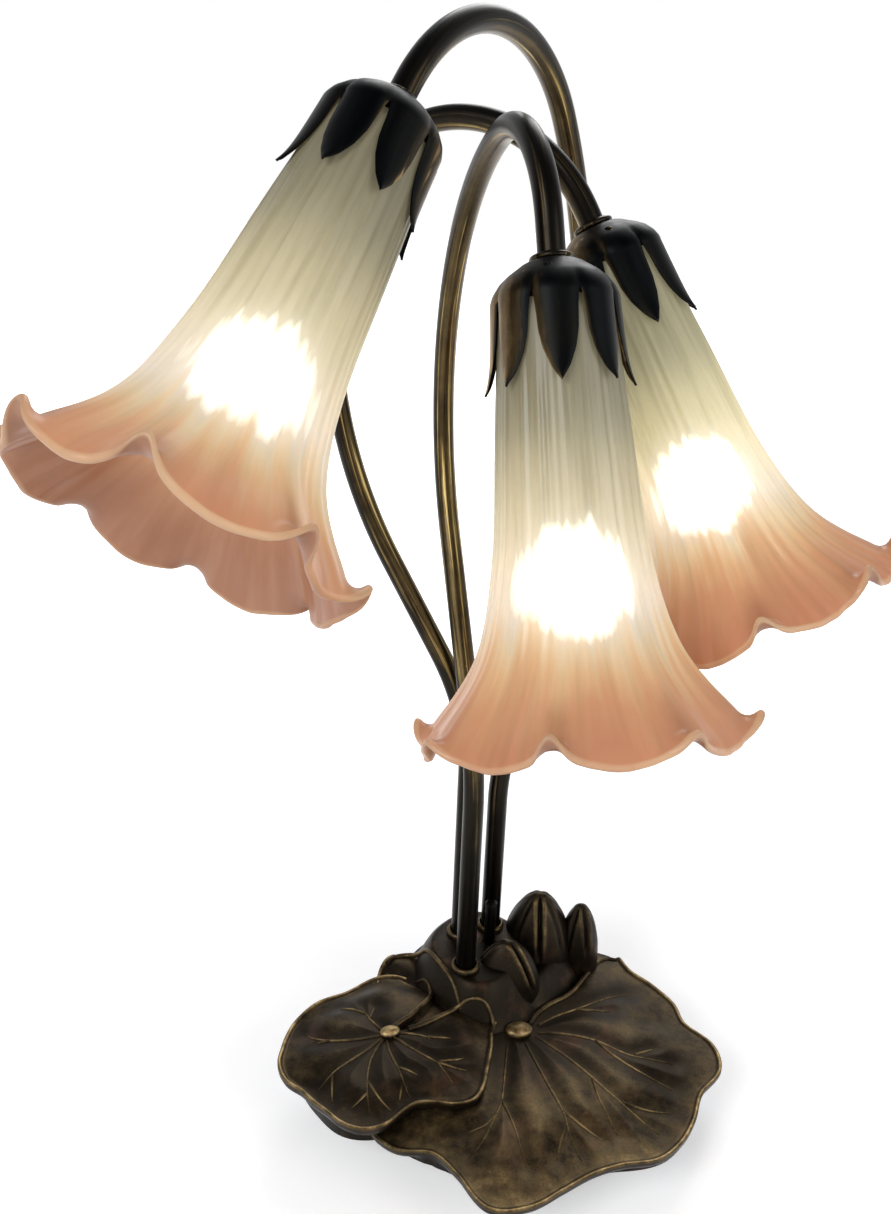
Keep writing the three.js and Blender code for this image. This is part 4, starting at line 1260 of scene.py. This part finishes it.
# Share of extra painted glow in the upper glass of each shade; the right shade gets the most.
cream_shares = {"left": 0.15, "front": 0.0, "right": 1.0}
glow_reaches = {"left": 20 * mm, "front": 18 * mm, "right": 18 * mm}
rim_radii = {"left": 57.2 * mm, "front": 57 * mm, "right": 56.2 * mm}
# Where each shade's tone ramp starts; it moves with the shade's glow place, so that the ramp's palest band,
# partly painted glow, sits round the bulb.
glow_tone_starts = {"left": 22 * mm, "front": 14.8 * mm, "right": 13 * mm}
glow_places = {"left": 116.5 * mm, "front": 109 * mm, "right": 106 * mm}


def shade_wall_rows(arm, bearing):
    """Reach, level and lean of the outer wall at each bearing, walked from the top. The last
    stretch curls out at each notch of the ruffle. Also gives the notches, each row's share of
    the way down and its distance from the mouth."""
    noise = np.random.default_rng(fold_notes[arm.side])

    def waves(counts, size):
        return sum(noise.normal(0, size) * np.cos(k * bearing + noise.uniform(0, full_turn))
                   for k in counts)

    curve = smooth_path(shade_shares, 24) * (rim_radii[arm.side], shade_length)
    far = np.concatenate([[0], np.cumsum(np.linalg.norm(np.diff(curve, axis=0), axis=1))])
    even = np.linspace(0, far[-1], shade_rows)
    radius, down = np.interp(even, far, curve[:, 0]), np.interp(even, far, curve[:, 1])
    lean = np.arctan2(np.gradient(radius), np.gradient(down))[:, None]
    left = far[-1] - even
    wobble = waves((1, 2, 3, 5), 0.25)
    wave = np.cos(ruffle_count * bearing + 0.5 * wobble)
    notch = np.exp((wave - 1) / notch_sharpness)
    fold = fold_shares[arm.side]
    curl = fold * curl_turn * notch + droop_turn * (1 - notch) * (0.8 + 0.3 * wobble)
    mouth = 1 - smooth_step(left, 0, curl_length)[:, None]
    lean = lean + curl * mouth * (1 + 0.12 * waves((8, 11), 1))
    step, start = even[1], np.zeros(shade_bearings)
    share = (down / shade_length)[:, None]
    ruffle = smooth_step(share, 0.55, 1.0)
    r = radius[0] + np.vstack([start, np.cumsum(np.sin(lean[:-1]) * step, axis=0)])
    level = shade_top + np.vstack([start, np.cumsum(np.cos(lean[:-1]) * step, axis=0)])
    r = r + ruffle * (ruffle_reach * wave + ruffle_wander * wobble)
    r = r + rib_depth * waves((19, 26, 33, 41, 52), 0.5) * smooth_step(share, 0.05, 0.3)
    level = level - ruffle * ruffle_drop * fold * wave
    return r, level, lean, notch, share, left


def shade_mesh(arm):
    """Both walls of the ruffled shade, joined by a rounded lip and a narrow top edge."""
    bearing = bearings_round(shade_bearings)
    r, level, lean, notch, share, left = shade_wall_rows(arm, bearing)

    def ring(row, depth, onward=0.0):
        reach = r[row] - depth * np.cos(lean[row]) + onward * np.sin(lean[row])
        along = level[row] + depth * np.sin(lean[row]) + onward * np.cos(lean[row])
        return np.column_stack([reach * np.cos(bearing), reach * np.sin(bearing), along])

    last, half = shade_rows - 1, shade_wall / 2
    lip_angles = np.linspace(0, math.pi, lip_steps + 2)[1:-1]
    rings = [ring(row, 0) for row in range(shade_rows)]
    rings += [ring(last, half - half * math.cos(a), half * math.sin(a)) for a in lip_angles]
    rings += [ring(row, shade_wall) for row in range(last, -1, -1)]
    rings[-1][:, 2] = np.maximum(rings[-1][:, 2], shade_top)
    inside = [*[0.0] * shade_rows, *np.linspace(0, 1, lip_steps), *[1.0] * shade_rows]
    # Masks for the painted highlight along the lip and the painted shade above each notch.
    lip_highlight_fade = 1 - smooth_step(left, 0, lip_highlight_width)
    edge = [*lip_highlight_fade, *[1.0] * lip_steps, *lip_highlight_fade[::-1] * 0.7]
    smudged = notch * smooth_step(share, 0.86, 0.97)
    smudge = [*smudged, *[notch * 0.6] * lip_steps, *[notch * 0.0] * shade_rows]
    height = np.vstack(rings)[:, 2]
    turned = Matrix.Rotation(math.radians(arm.shade_turn), 4, "Z")
    spots = np.vstack(rings) @ np.array(turned.to_3x3()).T
    plumb = spots * (1, 1, 0) @ np.array(arm.head.to_3x3()).T
    mesh = skin(
        "shade", rings, closed=True, spot=spots, smudge=np.concatenate(smudge),
        inside=np.repeat(inside, shade_bearings), edge=np.repeat(edge, shade_bearings),
        glow=(height - glow_places[arm.side]) / glow_reaches[arm.side],
        plumb=plumb / np.linalg.norm(plumb, axis=1)[:, None],
        tint=(height - glow_tone_starts[arm.side]) / shade_length,
        cream=np.full(len(height), cream_shares[arm.side]),
    )
    mesh.transform(arm.head @ turned)
    return mesh


def glass_colour(paint, far, fine, clouds):
    """Ivory, peach and rose down the shade, palest at the bulb's height as painted glow, with painted shade
    above the notches, a painted highlight on the lip and a duller lining.
    """
    # The palest stops, round 0.58 to 0.77, are partly the glass's own ivory and partly painted glow at the
    # bulb's height.
    tone = paint.ramp(far, [
        (0.0, "837d66"), (0.2, "969078"), (0.34, "a9a48d"), (0.45, "b6b29e"), (0.58, "cac7b8"),
        (0.69, "dddcd0"), (0.77, "e6d8b4"), (0.83, "e4c496"), (0.9, "d9aa80"), (1.0, "ca9270"),
    ])
    veil = paint.ramp(fine, [(0.35, "cbc6b0"), (0.55, "fffdf6")])
    tone = paint.blend(0.28, tone, veil, "MULTIPLY")
    rose = paint.times(paint.span(far, 0.74, 0.9), paint.span(clouds, 0.4, 0.65, 0.0, 0.45))
    tone = paint.blend(rose, tone, screen_colour("cc8d6a"))
    # Painted shade on the glass just above each notch, where the rim folds.
    smudged = paint.times(paint.attribute("smudge"), paint.span(clouds, 0.3, 0.6, 0.1, 0.45))
    tone = paint.blend(smudged, tone, screen_colour("7a4a35"))
    lining = paint.ramp(far, [(0.5, "dcd6c4"), (0.72, "c09878"), (0.88, "a97c60"), (1.0, "ac8268")])
    lining = paint.blend(paint.span(fine, 0.5, 0.7, 0.0, 0.3), lining, screen_colour("c4a48c"))
    tone = paint.blend(paint.attribute("inside"), tone, lining)
    # Painted highlight along the rounded lip, broken up by clouds.
    lip = paint.span(paint.attribute("edge"), 0.5, 1.0, 0.0, 0.75)
    lip = paint.times(lip, paint.span(clouds, 0.35, 0.6, 0.35, 1.0))
    tone = paint.blend(lip, tone, screen_colour("d8bb95"))
    return tone


def glass_light(paint, tone, far, fine, streaks):
    """Colour and strength of the light in the glass: a hot patch where one looks at the bulb
    through the wall, a halo round it and a faint glow at the mouth."""
    plumb = paint.add("VectorTransform", {0: paint.attribute("plumb", "Vector")},
                      vector_type="NORMAL", convert_from="OBJECT", convert_to="WORLD")
    aside = paint.add("LayerWeight", {"Blend": 0.5, "Normal": plumb}, out="Facing")
    facing = paint.maths("SUBTRACT", 1.0, aside)
    off = paint.attribute("glow")
    turned = paint.maths("SUBTRACT", 1.0, paint.times(facing, facing))
    spread = paint.plus(paint.times(off, off), paint.times(turned, 2.3))
    spread = paint.plus(spread, paint.span(fine, 0.3, 0.7, -0.32, 0.32))
    spread = paint.plus(spread, paint.span(streaks, 0.3, 0.7, -0.2, 0.2))
    core = paint.span(spread, 1.25, 0.6)
    halo = paint.span(spread, 3.0, 0.8)
    halo = paint.times(halo, halo)
    strength = paint.weigh(core, 1.6, halo, 0.17)
    strength = paint.plus(strength, paint.span(far, 0.6, 0.8, 0.2, 0.31))
    # Extra painted glow, pale yellow, in the upper half of a shade.
    cream = paint.times(paint.attribute("cream"), paint.span(far, 0.05, 0.4, 0.1, 0.26))
    cream = paint.times(cream, paint.span(far, 0.82, 0.55))
    strength = paint.plus(strength, cream)
    strength = paint.times(strength, paint.span(paint.attribute("inside"), 0.0, 1.0, 1.0, 0.5))
    light = paint.blend(paint.times(cream, 3.0), tone, screen_colour("eee8b8"))
    light = paint.blend(paint.times(halo, 0.6), light, screen_colour("f4f3ea"))
    light = paint.blend(paint.span(spread, 1.6, 0.8), light, screen_colour("fffdf6"))
    return light, strength


def tulip_glass():
    """Cased glass, lit from within, with fine streaks that run down the shade."""
    paint = Paint("tulip_glass", {"Coat Weight": 0.2, "Coat Roughness": 0.15, "IOR": 1.5})
    split = paint.add("SeparateXYZ", {0: paint.attribute("spot", "Vector")})
    x, y, z = (split.node.outputs[k] for k in range(3))
    reach = paint.maths("SQRT", paint.plus(paint.times(x, x), paint.times(y, y)))
    across, along = paint.maths("DIVIDE", x, reach), paint.maths("DIVIDE", y, reach)
    flow = paint.add("CombineXYZ", {0: across, 1: along, 2: paint.times(z, 2.6)})
    streaks = paint.noise(4.5, 4, 0.6, flow)
    fine = paint.noise(8, 3, 0.45, flow)
    clouds = paint.noise(22, 4, 0.55)
    far = paint.plus(paint.attribute("tint"), paint.span(streaks, 0.3, 0.7, -0.045, 0.045))
    far = paint.plus(far, paint.span(fine, 0.3, 0.7, -0.02, 0.02))
    tone = glass_colour(paint, far, fine, clouds)
    light, strength = glass_light(paint, tone, far, fine, streaks)
    paint.feed(paint.shader, {"Emission Color": light, "Emission Strength": strength})
    through = paint.add("BsdfTranslucent", {"Color": tone})
    mixed = paint.add("MixShader", {0: 0.4, 1: paint.shader.outputs[0], 2: through})
    paint.feed(paint.output, {"Surface": mixed})
    rough = paint.span(fine, 0.3, 0.7, 0.3, 0.42)
    return paint.finish(tone, rough, paint.weigh(fine, 0.7, clouds, 0.3), 0.14, 0.4 * mm)


glass = tulip_glass()
for arm in arms:
    shade = thing(f"blown_tulip_shade_{arm.side}", shade_mesh(arm), 60)
    finish_piece(shade, "stand", glass, f"glass_shade_{arm.side}")

# Floor, light and camera
# A plain white product setting: soft light from above and both sides, and a backdrop that shows
# white to the camera. The camera stands in front and looks slightly down.
floor_half = 4.0
floor_near = 0.15
floor_far = 0.6
floor_fill = 0.35
floor_dip = 20 * mm
camera_place = (-0.033, -0.4475, 0.4442)
camera_pitch = math.radians(23.5)
camera_roll = math.radians(-2.1)
camera_lens = 23.21
film_height = 24.0


def white_floor():
    """Matt white paper: white to the camera and in reflections, keeping the lamp's shadow."""
    paint = Paint("white_floor", {"Emission Color": [1, 1, 1, 1]})
    fibres = paint.noise(300, 4, 0.6)
    tone = paint.ramp(fibres, [(0.3, 0.78), (0.7, 0.82)])
    seen = 0.0
    for ray in ("Is Camera Ray", "Is Glossy Ray", "Is Transmission Ray"):
        seen = paint.maths("MAXIMUM", seen, paint.add("LightPath", out=ray))
    spot = paint.add("VectorMath", {0: paint.add("TexCoord", out="Object")}, out=1, operation="LENGTH")
    fill = paint.span(spot, floor_near, floor_far, floor_fill, 1.0)
    paint.feed(paint.shader, {"Emission Strength": paint.times(seen, fill)})
    return paint.finish(tone, 0.9, fibres, 0.1, 0.1 * mm)


# Four triangles that meet at a dip under the lamp
corners = [(-1, -1, 0), (1, -1, 0), (1, 1, 0), (-1, 1, 0)]
floor_mesh = skin("floor", [floor_half * np.array(corners), pole(0, 0, -floor_dip)])
floor_sheet = thing("paper_floor", floor_mesh)
floor_sheet.data.materials.append(white_floor())


def soft_light(name, place, target, size, power):
    """A round soft light, aimed at a target."""
    lamp = bpy.data.lights.new(name, "AREA")
    lamp.shape = "DISK"
    lamp.size = size
    lamp.energy = power
    item = bpy.data.objects.new(name, lamp)
    bpy.context.scene.collection.objects.link(item)
    item.location = place
    item.rotation_euler = (Vector(target) - Vector(place)).to_track_quat("-Z", "Y").to_euler()


soft_light("key_light", place=(-1.2, -1.4, 1.6), target=(0, 0, 0.2), size=1.2, power=26)
soft_light("fill_light", place=(1.5, -1.0, 1.0), target=(0, 0, 0.2), size=1.4, power=13)
soft_light("back_light", place=(0.3, 1.6, 1.5), target=(0, 0, 0.25), size=1.2, power=12)


def studio_world():
    """White to the camera, and otherwise pale from below and darker from above."""
    world = bpy.data.worlds.new("studio")
    world.use_nodes = True
    sky = Nodes(world.node_tree)
    height = sky.add("SeparateXYZ", {0: sky.add("TexCoord", out="Generated")}, out=2)
    tone = sky.ramp(sky.span(height, -1.0, 1.0), [(0.5, 0.95), (0.95, (0.16, 0.17, 0.2))])
    seen = sky.add("LightPath", out="Is Camera Ray")
    sky.feed(sky.tree.nodes["Background"], {0: sky.blend(seen, tone, [1, 1, 1, 1]), 1: 1.0})
    return world


bpy.context.scene.world = studio_world()

forward = Vector((0, math.cos(camera_pitch), -math.sin(camera_pitch)))
level_down = Vector((0, -math.sin(camera_pitch), -math.cos(camera_pitch)))
level_right = Vector((1, 0, 0))
right = level_right * math.cos(camera_roll) + level_down * math.sin(camera_roll)
down = level_down * math.cos(camera_roll) - level_right * math.sin(camera_roll)
camera_data = bpy.data.cameras.new("photo_camera")
camera_data.sensor_fit = "VERTICAL"
camera_data.sensor_height = film_height
camera_data.lens = camera_lens
camera = bpy.data.objects.new("photo_camera", camera_data)
bpy.context.scene.collection.objects.link(camera)
turn = Matrix((right, -down, -forward)).transposed().to_4x4()
camera.matrix_world = Matrix.Translation(camera_place) @ turn
bpy.context.scene.camera = camera
bpy.context.scene.view_settings.view_transform = "Standard"
